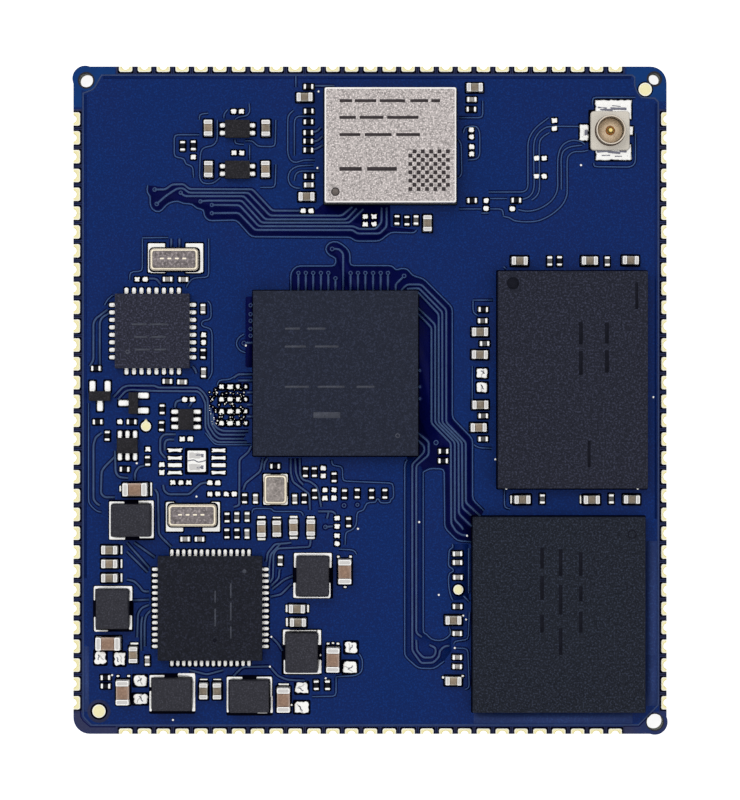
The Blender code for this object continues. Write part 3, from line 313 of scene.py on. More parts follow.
# Inner edges of the copper planes
POUR_EDGES = (
    ((-15.0, 14.5), (-15.05, 14.0), (-14.8, 13.75), (-14.85, 13.3), (-14.7, 12.85), (-14.2, 12.65),
     (-13.6, 13.3), (-12.95, 13.45), (-12.6, 13.25), (-12.0, 13.25), (-11.7, 12.93), (-11.2, 12.85),
     (-11.2, 12.45), (-10.9, 12.1), (-9.0, 12.15), (-8.0, 11.02), (-1.3, 10.99), (-1.0, 10.73),
     (0.65, 10.73), (1.4, 11.33), (3.0, 11.28), (3.15, 11.5)),
    ((-5.33, 7.3), (-5.35, 8.6), (-4.95, 9.05), (-2.35, 9.05), (-2.27, 9.6), (-2.75, 9.75), (-3.05, 10.2),
     (-2.75, 10.65), (-2.2, 10.72), (-1.6, 10.3), (-1.35, 9.95), (-1.35, 9.08), (1.5, 9.08), (1.75, 8.75),
     (2.1, 8.9), (2.55, 8.85), (2.85, 8.4), (3.6, 8.2), (5.55, 6.25), (5.55, -1.2), (6.92, -2.6),
     (6.92, -6.7), (7.68, -7.45)),
    ((3.59, -4.85), (4.03, -4.6), (5.0, -4.64), (5.04, -8.6), (5.89, -9.48), (6.83, -9.55)),
    ((2.5, -4.0), (2.34, -4.3), (2.34, -17.15), (2.5, -17.4), (3.25, -18.07), (4.33, -18.1), (5.0, -17.6)),
    ((3.59, -4.85), (3.59, -15.7), (3.8, -15.75), (4.0, -16.0), (4.33, -16.2), (4.94, -16.2),
     (5.48, -15.8), (5.35, -15.3)),
    ((5.55, -9.7), (5.62, -9.95), (5.34, -10.05), (5.28, -11.17), (5.45, -11.3), (5.62, -11.4),
     (5.62, -11.57), (5.34, -11.65), (5.28, -12.1), (5.34, -12.8), (5.48, -13.3), (5.6, -13.5)),
    ((6.3, -13.2), (6.7, -13.6)), ((6.66, -9.98), (6.66, -13.03)),
    ((6.7, -14.3), (6.63, -16.14), (5.72, -16.25), (5.65, -16.45)),
    ((5.72, -16.71), (6.6, -16.75), (6.7, -19.4), (6.4, -19.5)),
    ((-2.59, -4.0), (-2.55, -4.4), (-2.0, -4.45), (-1.85, -4.6), (-1.85, -5.45), (1.56, -5.59), (1.6, -6.6),
     (1.39, -6.67), (1.39, -6.91), (0.68, -6.94), (0.6, -6.65), (0.45, -6.65), (0.4, -6.9), (-0.26, -6.9),
     (-0.4, -7.45), (-0.87, -7.5), (-0.93, -8.46), (-1.27, -8.8), (-1.64, -8.87), (-1.68, -9.75)),
    ((-2.1, -10.05), (-1.07, -10.1), (-0.9, -10.4)),
    ((-7.95, -7.6), (-7.9, -7.3), (-6.6, -7.3), (-6.55, -7.5), (-4.6, -7.5), (-4.5, -7.8)),
    ((-2.29, -18.7), (-2.29, -19.96), (-3.9, -19.99)),
    ((-0.73, -17.1), (-0.5, -17.5), (-0.53, -18.3), (-0.93, -18.57), (-2.29, -18.65)),
    ((9.07, -6.0), (9.07, -7.25), (9.44, -7.33)),
    ((-11.5, 17.9), (-13.2, 17.9), (-13.2, 16.4), (-12.5, 16.3), (-12.45, 15.9), (-11.95, 15.8),
     (-11.9, 15.0)),
    ((-11.5, 18.9), (-11.5, 19.3), (-10.9, 19.35)), ((-9.85, 19.0), (-9.85, 19.3), (-9.6, 19.6)),
    ((-8.15, 20.0), (-8.1, 19.4), (-8.35, 19.15), (-8.9, 19.1), (-9.1, 18.9)),
    ((-10.3, 18.9), (-10.3, 17.5), (-10.6, 17.15), (-11.0, 17.1), (-11.35, 16.95), (-11.45, 16.5),
     (-11.5, 15.0), (-11.3, 14.62), (-10.6, 14.6), (-10.1, 15.0)),
    ((-9.1, 17.6), (-9.1, 17.3), (-8.5, 17.25)), ((-8.12, 17.2), (-8.12, 16.2)),
    ((-8.4, 17.5), (-7.9, 17.5), (-7.6, 17.12), (-6.4, 17.1), (-6.35, 18.9)),
    ((-7.4, 14.35), (-6.4, 14.35), (-6.35, 15.9)),
    ((-5.15, 19.55), (-5.45, 19.3), (-5.55, 19.0), (-5.55, 16.6), (-5.35, 16.15), (-5.0, 16.0), (-4.5, 16.2),
     (-3.7, 16.2)),
    ((-4.0, 19.15), (-4.9, 19.15), (-5.1, 18.9), (-5.1, 16.5)),
    ((-3.8, 15.85), (-4.9, 15.8), (-5.4, 15.5), (-5.55, 15.0), (-5.4, 14.5), (-5.0, 14.3), (-4.7, 14.3)),
    ((-3.4, 15.45), (-4.8, 15.45), (-5.05, 15.2), (-5.1, 14.8)), ((-5.0, 21.85), (-5.0, 21.1)),
    ((6.0, 19.05), (7.6, 19.05), (7.6, 20.2)), ((5.95, 17.6), (6.15, 17.3), (6.18, 15.2), (5.95, 15.0)),
    ((6.3, 18.0), (6.35, 18.3), (6.5, 18.45), (7.2, 18.5), (7.4, 18.1), (7.4, 16.5), (7.2, 16.25),
     (6.6, 16.2)),
    ((8.1, 13.6), (9.25, 13.6)), ((6.0, 12.9), (7.5, 12.9)), ((7.5, 12.62), (8.0, 12.62)),
    ((8.1, 12.9), (8.95, 12.9), (9.0, 12.4)),
    ((8.0, 14.04), (10.4, 14.04), (10.65, 14.3), (10.65, 17.4), (10.85, 17.95), (11.25, 18.45),
     (12.05, 19.05)),
    ((-15.35, 10.9), (-15.35, 8.7), (-16.2, 8.65), (-16.2, 8.1)), ((-15.35, 10.95), (-13.6, 10.97)),
    ((-10.88, 10.9), (-10.88, 8.3), (-11.9, 8.25), (-12.2, 8.0), (-12.4, 7.6)),
    ((-17.3, 7.1), (-17.7, 6.8), (-17.9, 6.4)),
    ((-10.95, 6.7), (-10.75, 6.5), (-10.7, 5.6), (-10.9, 5.4), (-11.2, 5.4), (-11.4, 5.2), (-11.3, 4.95),
     (-10.75, 4.85), (-10.65, 4.5), (-10.65, 1.8), (-10.9, 1.4)),
    ((-10.3, 1.0), (-10.2, 1.35), (-9.4, 1.4), (-9.0, 1.72), (-8.0, 1.72)),
    ((-11.1, -2.2), (-10.5, -2.95), (-10.2, -3.0), (-8.0, -3.0)),
    ((-18.98, -0.2), (-18.98, -6.9), (-18.75, -7.2), (-18.4, -7.5), (-18.1, -7.55)),
    ((6.95, 6.7), (6.95, 5.9), (7.3, 5.7)), ((6.95, 6.75), (8.3, 6.75)), ((6.9, 2.3), (6.9, -0.2)),
    ((7.0, -3.0), (7.3, -3.2), (8.2, -3.25)), ((9.0, 9.0), (9.2, 8.85)),
    ((15.0, 19.9), (15.0, 20.42), (17.9, 20.42)),
    ((17.9, 18.0), (17.9, 16.0), (17.6, 15.72), (15.1, 15.75), (15.1, 16.0)),
)
# Strips without copper, as left, bottom, right and top edges
DARK_STRIPS = ((-8.4, 2.2, -7.8, 7.0), (-8.7, 3.6, -8.3, 4.1))
# Wider areas without copper round the bundles of tracks: a finish and a clockwise outline. The third
# also runs along the radio's lower edge, where its dark is painted shadow of the radio and of the
# capacitor beside it.
DARK_AREAS = (
    (0, POUR_EDGES[1] + (
        (6.9, -8.9), (6.83, -9.55), (5.89, -9.48), (5.04, -8.6), (5.0, -4.64), (4.03, -4.6), (3.59, -4.85),
        (3.0, -3.6), (0.0, 0.0),
    )),
    (2, POUR_EDGES[4][:-1] + (
        (5.5, -16.9), (5.0, -17.6), (4.33, -18.1), (3.25, -18.07), (2.5, -17.4), (2.34, -17.15), (2.34, -4.3),
        (2.5, -4.0), (2.5, -3.6), (3.1, -3.6),
    )),
    (0, POUR_EDGES[0][::-1] + (
        (-13.8, 14.35), (-13.4, 14.66), (-12.5, 14.66), (-12.15, 14.35), (-7.9, 14.34), (-6.5, 12.86),
        (-3.6, 12.86), (-3.1, 13.3), (1.35, 13.3), (1.4, 11.7),
    )),
    (2, POUR_EDGES[5][::-1] + ((6.66, -9.7), (6.66, -13.4))),
)
# x, y, radius
VIA_RINGS = (
    (-14.52, 14.21, 0.15), (-14.38, 13.24, 0.15), (-12.76, 13.99, 0.14), (-11.43, 13.41, 0.14),
    (-10.66, 13.17, 0.14), (-10.66, 12.61, 0.14),
    *((x, 8.22 if x == SHORTER_STUB else 8.58, 0.14) for x in STUB_COLUMNS),
    (-2.55, 10.2, 0.15), (2.3, 8.38, 0.15), (4.45, -2.86, 0.17), (-8.05, 6.4, 0.14), (-8.05, 5.8, 0.14),
    (-8.05, 5.35, 0.14), (-8.05, 4.8, 0.14), (-8.05, 4.35, 0.14), (-8.5, 3.85, 0.16), (-3.0, -8.55, 0.15),
    (-1.75, -7.1, 0.15), (-0.85, -7.05, 0.13), (3.35, 2.0, 0.09), (3.35, 0.9, 0.09), (3.35, 0.1, 0.09),
)
# x, y of the solder dots on vias
BRIGHT_DOTS = (
    (-3.47, 20.82), (-3.54, 15.66), (14.23, 15.85), (-8.36, 3.68), (-15.73, -4.25), (8.46, -3.99),
    (19.10, 0.21), (-0.81, -8.67), (3.32, -8.22), (4.64, -13.13), (9.19, -5.97), (18.04, -5.97),
    (-13.29, -21.56), (6.29, -14.53), (6.48, -14.79), (-3.35, -17.2), (-6.65, -15.96), (-6.75, -17.97),
    (5.72, -16.71), (6.55, -9.14), (-11.7, -6.5), (-17.39, -18.54), (-2.99, -18.75),
)


def tone(red, green, blue):
    """A colour as seen on a screen, 0 to 255, as the values that a shader takes."""
    values = []
    for part in (red, green, blue):
        share = part / 255
        values.append(share / 12.92 if share <= 0.04045 else ((share + 0.055) / 1.055) ** 2.4)
    return tuple(values)


# Shapes. Everything is drawn in millimetres and brought to metres when it is settled.


def at(x, y, turn=0.0, height=TOP):
    """The matrix that seats a shape on the board, turned by some degrees."""
    return Matrix.Translation((x, y, height)) @ Matrix.Rotation(math.radians(turn), 4, "Z")


def rounded(half_x, half_y, corner, steps):
    """Points of a rounded rectangle, anticlockwise."""
    corner = max(0.002, min(corner, half_x - 0.001, half_y - 0.001))
    points = []
    for quarter, (side_x, side_y) in enumerate(((1, -1), (1, 1), (-1, 1), (-1, -1))):
        for step in range(steps + 1):
            angle = math.radians(90 * (quarter - 1 + step / steps))
            points.append((
                side_x * (half_x - corner) + corner * math.cos(angle),
                side_y * (half_y - corner) + corner * math.sin(angle),
            ))
    return points


def loft(shape, rings, finish=0, closed=False):
    """Joins rings of points, one after another, into a closed skin."""
    loops = [[shape.verts.new(point) for point in ring] for ring in rings]
    pairs = list(zip(loops, loops[1:]))
    if closed:
        pairs.append((loops[-1], loops[0]))
    faces = []
    for lower, upper in pairs:
        for index, point in enumerate(lower):
            after = (index + 1) % len(lower)
            faces.append(shape.faces.new((point, lower[after], upper[after], upper[index])))
    if not closed:
        faces.append(shape.faces.new(loops[0][::-1]))
        faces.append(shape.faces.new(loops[-1]))
    for face in faces:
        face.material_index = finish
    return faces


def add_stack(shape, place, half_x, half_y, levels, finish=0, centre=(0.0, 0.0), steps=2):
    """Rounded rectangles one above another. A level is its height, its inset and its corner.

    An inset is one length, or two if it differs between the two ways.
    """
    rings = []
    for height, inset, corner in levels:
        inset_x, inset_y = inset if isinstance(inset, tuple) else (inset, inset)
        outline = rounded(half_x - inset_x, half_y - inset_y, corner, steps)
        rings.append([place @ Vector((centre[0] + x, centre[1] + y, height)) for x, y in outline])
    return loft(shape, rings, finish)


def block_levels(bottom, top, corner, edge):
    """Levels of a block whose upper edges are rounded."""
    bend = 0.29 * edge
    return ((bottom, 0.0, corner), (top - edge, 0.0, corner), (top - bend, bend, corner), (top, edge, corner))


def plate_levels(bottom, top, corner):
    """Levels of a plain plate."""
    return ((bottom, 0.0, corner), (top, 0.0, corner))


def add_turned(shape, place, profile, finish=0, steps=24, closed=False):
    """A turned form. Its profile is a line of radius and height, or a loop of them if closed."""
    rings = []
    for radius, height in profile:
        ring = []
        for step in range(steps):
            angle = math.tau * step / steps
            ring.append(place @ Vector((radius * math.cos(angle), radius * math.sin(angle), height)))
        rings.append(ring)
    return loft(shape, rings, finish, closed)


def add_disc(shape, place, radius, bottom, top, finish=0, steps=24):
    """A flat round plate."""
    add_turned(shape, place, ((radius, bottom), (radius, top)), finish, steps)


def add_ring(shape, place, outer, inner, bottom, top, finish=0, steps=24):
    """A flat ring between two radii."""
    profile = ((outer, bottom), (outer, top), (inner, top), (inner, bottom))
    add_turned(shape, place, profile, finish, steps, closed=True)


def add_ribbon(shape, points, width, bottom, top, finish=0, closed=False):
    """A flat strip of even width along a line of points, with mitred bends."""
    line = [Vector(point) for point in points]
    last = len(line) - 1
    rings = []
    for index, here in enumerate(line):
        before = (here - line[index - 1]).normalized() if index or closed else None
        after = (line[(index + 1) % len(line)] - here).normalized() if index < last or closed else None
        before = before or after
        after = after or before
        along = (before + after).normalized()
        across = Vector((-along.y, along.x))
        reach = width / 2 / max(0.5, across.dot(Vector((-before.y, before.x))))
        left, right = here + across * reach, here - across * reach
        rings.append([(*left, bottom), (*left, top), (*right, top), (*right, bottom)])
    return loft(shape, rings, finish, closed)


def add_area(shape, outline, bottom, top, finish=0):
    """A flat plate with any outline, given anticlockwise."""
    rings = [[(x, y, height) for x, y in outline] for height in (bottom, top)]
    return loft(shape, rings, finish)


def smooth_line(points, steps=6):
    """A round line through the points."""
    line = []
    count = len(points)
    for index in range(count - 1):
        a, b, c, d = (Vector(points[min(count - 1, max(0, index + shift))]) for shift in (-1, 0, 1, 2))
        for step in range(steps):
            t = step / steps
            bend = (2 * a - 5 * b + 4 * c - d) * t ** 2 + (3 * b - a - 3 * c + d) * t ** 3
            line.append(0.5 * (2 * b + (c - a) * t + bend))
    line.append(Vector(points[-1]))
    return line


def strip_box(strip):
    """Middle and half sizes of a strip given by its left, bottom, right and top edges."""
    left, bottom, right, top = strip
    return (left + right) / 2, (bottom + top) / 2, (right - left) / 2, (top - bottom) / 2


def eased(points, reach):
    """The same line with its bends rounded off."""
    line = [Vector(points[0])]
    for before, here, after in zip(points, points[1:], points[2:]):
        before, here, after = Vector(before), Vector(here), Vector(after)
        start = here.lerp(before, min(0.45, reach / (before - here).length))
        end = here.lerp(after, min(0.45, reach / (after - here).length))
        line += [start, (start + 2 * here + end) / 4, end]
    return line + [Vector(points[-1])]


def arc(x, y, radius, start, end, steps):
    """Points on a round stretch between two angles in degrees."""
    points = []
    for step in range(steps + 1):
        angle = math.radians(start + (end - start) * step / steps)
        points.append((x + radius * math.cos(angle), y + radius * math.sin(angle)))
    return points


def settle(shape, name, finishes, slot, *nodes):
    """Turns a shape into a piece that rides on the board and may stand for nodes of the frame."""
    for face in shape.faces:
        face.smooth = True
    for line in shape.edges:
        line.smooth = line.calc_face_angle(0.0) < SHARP_ANGLE
    mesh = bpy.data.meshes.new(name)
    shape.to_mesh(mesh)
    shape.free()
    mesh.transform(Matrix.Scale(MM, 4))
    for finish in finishes:
        mesh.materials.append(surface(finish))
    piece = bpy.data.objects.new(name, mesh)
    bpy.context.scene.collection.objects.link(piece)
    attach(piece, "root")
    if nodes:
        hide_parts(*nodes)
    return piece


def seat_of(node):
    """A node's middle and half sizes, and its foot and top above the mask, in millimetres."""
    low, high = (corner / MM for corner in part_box(node))
    middle, half = (low + high) / 2, (high - low) / 2
    return middle.x, middle.y, half.x, half.y, low.z - TOP, high.z - TOP


# Surfaces


def new_group(name, inputs, outputs):
    """An empty shader node group with named sockets."""
    group = bpy.data.node_groups.new(name, "ShaderNodeTree")
    for label, kind, value in inputs:
        group.interface.new_socket(name=label, in_out="INPUT", socket_type=kind).default_value = value
    for label, kind in outputs:
        group.interface.new_socket(name=label, in_out="OUTPUT", socket_type=kind)
    return group, group.nodes.new("NodeGroupInput").outputs, group.nodes.new("NodeGroupOutput").inputs


def add_node(tree, kind, values=None, sources=None):
    """A shader node with some inputs set and others linked to the outputs that feed them."""
    node = tree.nodes.new(f"ShaderNode{kind}")
    for socket, value in (values or {}).items():
        node.inputs[socket].default_value = value
    for socket, source in (sources or {}).items():
        tree.links.new(source, node.inputs[socket])
    return node


def add_math(tree, operation, *sources):
    """A sum of the given kind on one or two values."""
    node = add_node(tree, "Math", sources=dict(enumerate(sources)))
    node.operation = operation
    return node.outputs[0]


def add_noise(group, scale, detail):
    """A noise texture on the object's own coordinates, whose scale is a socket."""
    place = add_node(group, "TexCoord").outputs["Object"]
    return add_node(group, "TexNoise", {"Detail": detail}, {"Vector": place, "Scale": scale}).outputs["Fac"]


def add_ramp(group, value, low, high, start=0.0, end=1.0):
    """Spreads the part of a value between two limits over a new range."""
    limits = {"From Min": low, "From Max": high, "To Min": start, "To Max": end}
    return add_node(group, "MapRange", limits, {"Value": value}).outputs["Result"]


def add_blend(group, share, first, second):
    """Blends two colours by a share."""
    blend = add_node(group, "Mix")
    blend.data_type = "RGBA"
    for socket, source in ((0, share), (6, first), (7, second)):
        group.links.new(source, blend.inputs[socket])
    return blend.outputs[2]


def add_flatness(group):
    """1 on level faces and 0 on steep ones, by the object's own normals."""
    place = add_node(group, "TexCoord")
    parts = add_node(group, "SeparateXYZ", sources={0: place.outputs["Normal"]})
    return add_ramp(group, add_math(group, "ABSOLUTE", parts.outputs["Z"]), 0.35, 0.9)


def mottle_group():
    """Broad soft patches with a fine grain, as on a coated or moulded part, and painted light and shade
    on its steep faces.
    """
    name = "Mottled finish"
    if name in bpy.data.node_groups:
        return bpy.data.node_groups[name]
    colour, value = "NodeSocketColor", "NodeSocketFloat"
    group, given, out = new_group(name, (
        ("Colour", colour, (0.5, 0.5, 0.5, 1.0)), ("Patch Colour", colour, (0.4, 0.4, 0.4, 1.0)),
        ("Patch Scale", value, 600.0), ("Patch Share", value, 0.5),
        ("Grain Colour", colour, (0.6, 0.6, 0.6, 1.0)), ("Grain Scale", value, 9000.0),
        ("Grain Share", value, 0.5), ("Side Colour", colour, (0.3, 0.3, 0.3, 1.0)), ("Roughness", value, 0.5),
    ), (("Colour", colour), ("Roughness", value), ("Height", value)))
    patches = add_ramp(group, add_noise(group, given["Patch Scale"], 3.0), 0.38, 0.66)
    grain = add_ramp(group, add_noise(group, given["Grain Scale"], 2.0), 0.5, 0.68)
    patch_share = add_math(group, "MULTIPLY", patches, given["Patch Share"])
    coated = add_blend(group, patch_share, given["Colour"], given["Patch Colour"])
    grain_share = add_math(group, "MULTIPLY", grain, given["Grain Share"])
    speckled = add_blend(group, grain_share, coated, given["Grain Colour"])
    spread = add_ramp(group, patches, 0.0, 1.0, 0.85, 1.2)
    group.links.new(add_blend(group, add_flatness(group), given["Side Colour"], speckled), out["Colour"])
    group.links.new(add_math(group, "MULTIPLY", spread, given["Roughness"]), out["Roughness"])
    group.links.new(grain, out["Height"])
    return group


def weave_group():
    """The faint weave of the glass cloth that shows through a board's coating."""
    name = "Glass cloth weave"
    if name in bpy.data.node_groups:
        return bpy.data.node_groups[name]
    group, given, out = new_group(
        name, (("Threads", "NodeSocketFloat", 1800.0),), (("Height", "NodeSocketFloat"),)
    )
    place = add_node(group, "TexCoord").outputs["Object"]
    heights = []
    for direction in ("X", "Y"):
        sources = {"Vector": place, "Scale": given["Threads"]}
        wave = add_node(group, "TexWave", {"Distortion": 1.5, "Detail": 1.0}, sources)
        wave.bands_direction = direction
        heights.append(wave.outputs["Fac"])
    group.links.new(add_math(group, "MULTIPLY", *heights), out["Height"])
    return group


# Each finish, whose colour is the setting of its name: factor, scale and share of its patches, the
# same of its grain, factor of its steep sides, roughness, metallic, specular level, bump. The factor
# of the steep sides paints a highlight on them where it is above 1 and a shade where it is below 1.
FINISHES = {
    "solder_mask": ((0.6, 1.2, 1.08), 200, 0.7, (1.7, 2.6, 2.1), 8500, 0.62, 1.0, 0.42, 0.0, 0.12, 0.08),
    "mask_clearance": (1.6, 900, 0.5, 1.6, 6000, 0.4, 1.0, 0.40, 0.0, 0.06, 0.05),
    # The first of these two paints a sheen just inside the plane's edge near the lower corners
    **dict.fromkeys(
        ("edge_haze", "shaded_mask"),
        (0.95, 900, 0.5, (1.7, 2.2, 1.9), 8500, 0.55, 1.0, 0.42, 0.0, 0.10, 0.08),
    ),
    "soft_clearance": (1.4, 900, 0.5, 1.4, 6000, 0.4, 1.0, 0.40, 0.0, 0.06, 0.05),
    # The bare laminate's own grey between the edge pads, and a painted sheen at the lower corners
    "haze_mask": ((0.35, 0.8, 1.35), 420, 0.8, (1.5, 1.4, 1.3), 8500, 0.6, 1.0, 0.42, 0.0, 0.12, 0.08),
    "corner_mask": (1.3, 900, 0.6, (1.7, 1.4, 1.3), 8500, 0.6, 1.0, 0.42, 0.0, 0.12, 0.08),
    # Real gaps round pads, and painted shadow round the ball grid packages, the shield and the crystals
    "pad_clearance": (1.3, 900, 0.5, 0.7, 9000, 0.3, 1.0, 0.40, 0.0, 0.03, 0.05),
    "masked_track": (0.76, 1500, 0.6, 1.3, 5000, 0.5, 0.8, 0.38, 0.0, 0.12, 0.05),
    "plane_edge": (0.76, 1500, 0.6, 1.3, 8000, 0.5, 0.8, 0.40, 0.0, 0.12, 0.05),
    "faint_track": (0.8, 1500, 0.6, 1.3, 8000, 0.5, 0.9, 0.40, 0.0, 0.12, 0.05),
    "plating": (0.93, 2500, 0.5, 0.9, 9000, 0.4, 0.55, 0.30, 0.8, 0.5, 0.06),
    # Painted highlight on the pads' bevels; the next one is painted shade round the half holes
    "pad_rim": (0.95, 2500, 0.5, 1.0, 9000, 0.3, 0.8, 0.30, 0.5, 0.5, 0.05),
    "notch_rim": (0.9, 2500, 0.5, 1.0, 9000, 0.3, 0.7, 0.30, 0.7, 0.5, 0.05),
    "laminate": (0.60, 3000, 0.6, 1.3, 12000, 0.4, 1.0, 0.65, 0.0, 0.3, 0.4),
    "dark_rim": (0.7, 2500, 0.5, 1.2, 9000, 0.4, 0.8, 0.5, 0.0, 0.3, 0.2),
    "solder": (0.93, 3500, 0.6, 1.0, 5000, 0.3, 0.75, 0.28, 0.5, 0.5, 0.09),
    # Painted shade in ripples and creases of the solder
    "rippled_solder": (0.7, 5000, 0.7, 1.3, 6000, 0.5, 0.7, 0.3, 0.6, 0.5, 0.2),
    "terminal": (0.98, 4000, 0.5, 1.0, 9000, 0.3, 1.0, 0.30, 0.6, 0.5, 0.05),
    # Painted shade on the flat tops of the terminals and on rough solder
    "worn_terminal": (0.93, 5000, 0.7, 1.06, 7000, 0.5, 0.9, 0.4, 0.5, 0.5, 0.1),
    **dict.fromkeys(
        ("brown_ceramic", "grey_ceramic", "tan_ceramic"),
        (0.80, 5000, 0.8, 1.35, 8000, 0.7, (2.6, 3.1, 3.6), 0.42, 0.0, 0.2, 0.1),
    ),
    "pale_ceramic": (0.80, 5000, 0.8, 1.3, 8000, 0.7, (1.6, 1.6, 1.6), 0.42, 0.0, 0.2, 0.1),
    "slate_ceramic": (0.80, 5000, 0.8, 1.35, 8000, 0.7, (2.2, 2.3, 2.4), 0.42, 0.0, 0.2, 0.1),
    # The resistors' own black, also used for thin lines of painted shadow on the chip parts
    "resistor_coat": (0.7, 3000, 0.5, 1.5, 16000, 0.5, 0.6, 0.4, 0.0, 0.12, 0.1),
    "ferrite": (0.84, 3000, 0.7, 2.2, 9500, 0.8, 0.7, 0.55, 0.0, 0.12, 0.3),
    "moulding": (0.86, 5200, 0.6, 2.2, 9000, 0.9, 1.6, 0.55, 0.0, 0.12, 0.3),
    "memory_moulding": (0.70, 5200, 0.9, 2.9, 8200, 1.0, 1.4, 0.58, 0.0, 0.12, 0.4),
    "flash_moulding": (0.66, 5200, 0.9, 3.4, 8200, 1.0, 1.4, 0.55, 0.0, 0.12, 0.4),
    "power_moulding": (0.76, 3000, 0.7, 3.0, 9000, 0.9, 1.4, 0.5, 0.0, 0.12, 0.3),
    "controller_moulding": (0.66, 5200, 0.9, 2.8, 8200, 1.0, 1.0, 0.5, 0.0, 0.12, 0.3),
    "black_moulding": (0.76, 3000, 0.6, 2.4, 9500, 0.9, 0.8, 0.5, 0.0, 0.12, 0.3),
    "package_mark": (0.7, 2500, 0.8, 1.3, 9000, 0.6, 1.0, 0.6, 0.0, 0.1, 0.1),
    "dull_mark": (0.8, 2000, 0.7, 1.6, 9000, 0.5, 1.0, 0.6, 0.0, 0.08, 0.1),
    "substrate": (0.8, 2000, 0.6, 1.3, 9000, 0.4, 1.0, 0.5, 0.0, 0.2, 0.2),
    "shield": (0.5, 5800, 1.0, 1.7, 9500, 1.0, 1.1, 0.38, 0.7, 0.5, 0.15),
    # Painted highlight on the shield's bend
    "shield_edge": (0.96, 2500, 0.5, 1.0, 9000, 0.3, 0.9, 0.30, 0.2, 0.5, 0.05),
    **dict.fromkeys(("shield_mark", "pin_mark"), (0.8, 3000, 0.6, 1.4, 9000, 0.5, 1.0, 0.6, 0.0, 0.1, 0.1)),
    "crystal_rim": (0.94, 3000, 0.5, 1.0, 9000, 0.3, 0.6, 0.3, 0.5, 0.5, 0.05),
    "crystal_lid": (0.5, 3000, 0.9, 1.9, 6500, 0.85, 0.35, 0.42, 0.6, 0.5, 0.3),
    "oscillator_lid": (0.58, 3000, 0.9, 1.55, 6500, 0.8, 0.4, 0.42, 0.6, 0.5, 0.3),
    "jack_plastic": (0.93, 1500, 0.5, 1.06, 9000, 0.4, 0.7, 0.5, 0.0, 0.3, 0.08),
    "jack_shell": (0.8, 2500, 0.7, 1.1, 9000, 0.4, 0.16, 0.28, 0.4, 0.5, 0.06),
    "jack_floor": (0.85, 3000, 0.7, 1.1, 8000, 0.5, 0.5, 0.4, 0.3, 0.5, 0.1),
    # The crystals' own dark seam, also used for a ring of painted shadow round the jack's shell
    "rim_seam": (0.8, 3000, 0.5, 1.2, 9000, 0.4, 0.6, 0.5, 0.2, 0.3, 0.1),
    "pin_shade": (0.8, 2500, 0.5, 1.1, 9000, 0.4, 0.5, 0.35, 0.5, 0.5, 0.06),
    "jack_contact": (0.85, 2500, 0.5, 1.1, 9000, 0.4, 0.5, 0.28, 0.8, 0.5, 0.06),
}
WOVEN = (
    "solder_mask", "shaded_mask", "edge_haze", "mask_clearance", "soft_clearance", "corner_mask", "haze_mask",
    "pad_clearance", "masked_track", "plane_edge", "faint_track",
)


def scaled(colour, factor):
    """A colour made lighter or darker, the same way in each channel or by three factors."""
    factors = factor if isinstance(factor, tuple) else (factor,) * 3
    return (*(min(value * part, 1.0) for value, part in zip(colour[:3], factors)), 1.0)


def surface(name):
    """The material of a finish, made at its first use."""
    label = f"{name}_finish"
    if label in bpy.data.materials:
        return bpy.data.materials[label]
    (patch, patch_scale, patch_share, grain, grain_scale, grain_share, side,
     roughness, metallic, specular, bump) = FINISHES[name]
    looks, setting = bpy.context.scene.module_looks, f"{name}_colour"
    families = (looks.board, looks.chips, looks.packages, looks.metals)
    colour = next(getattr(family, setting) for family in families if hasattr(family, setting))
    material = bpy.data.materials.new(label)
    material.use_nodes = True
    tree = material.node_tree
    shader = tree.nodes["Principled BSDF"].inputs
    shader["Metallic"].default_value = metallic
    shader["Specular IOR Level"].default_value = specular
    mottle = add_node(tree, "Group")
    mottle.node_tree = mottle_group()
    # Steep faces take the side colour: a painted highlight where the factor is above 1, a painted shade where
    # it is below 1
    values = {
        "Colour": scaled(colour, 1.0), "Patch Colour": scaled(colour, patch), "Patch Scale": patch_scale,
        "Patch Share": patch_share, "Grain Colour": scaled(colour, grain), "Grain Scale": grain_scale,
        "Grain Share": grain_share, "Side Colour": scaled(colour, side), "Roughness": roughness,
    }
    for socket, value in values.items():
        mottle.inputs[socket].default_value = value
    grain = mottle
    if name in WOVEN:
        grain = add_node(tree, "Group")
        grain.node_tree = weave_group()
    heights = {"Strength": bump, "Distance": 0.01 * MM}
    relief = add_node(tree, "Bump", heights, {"Height": grain.outputs["Height"]})
    for source, socket in (
        (mottle.outputs["Colour"], "Base Color"), (mottle.outputs["Roughness"], "Roughness"),
        (relief.outputs["Normal"], "Normal"),
    ):
        tree.links.new(source, shader[socket])
    return material


def hole_outline(hole, wider=0.0):
    """The round outline of a corner hole."""
    x, y, radius, _ = hole
    return arc(x, y, radius + wider, 0, 345, 23)


# Settings


def tint(name, description, *screen):
    """A colour that a user may change, given as it looks on a screen."""
    return bpy.props.FloatVectorProperty(
        name=name, description=description, subtype="COLOR", size=3, min=0.0, max=1.0, default=tone(*screen)
    )


def length_setting(name, description, millimetres):
    """A length that a user may change."""
    return bpy.props.FloatProperty(
        name=name, description=description, unit="LENGTH", min=0.0, precision=6, default=millimetres * MM
    )


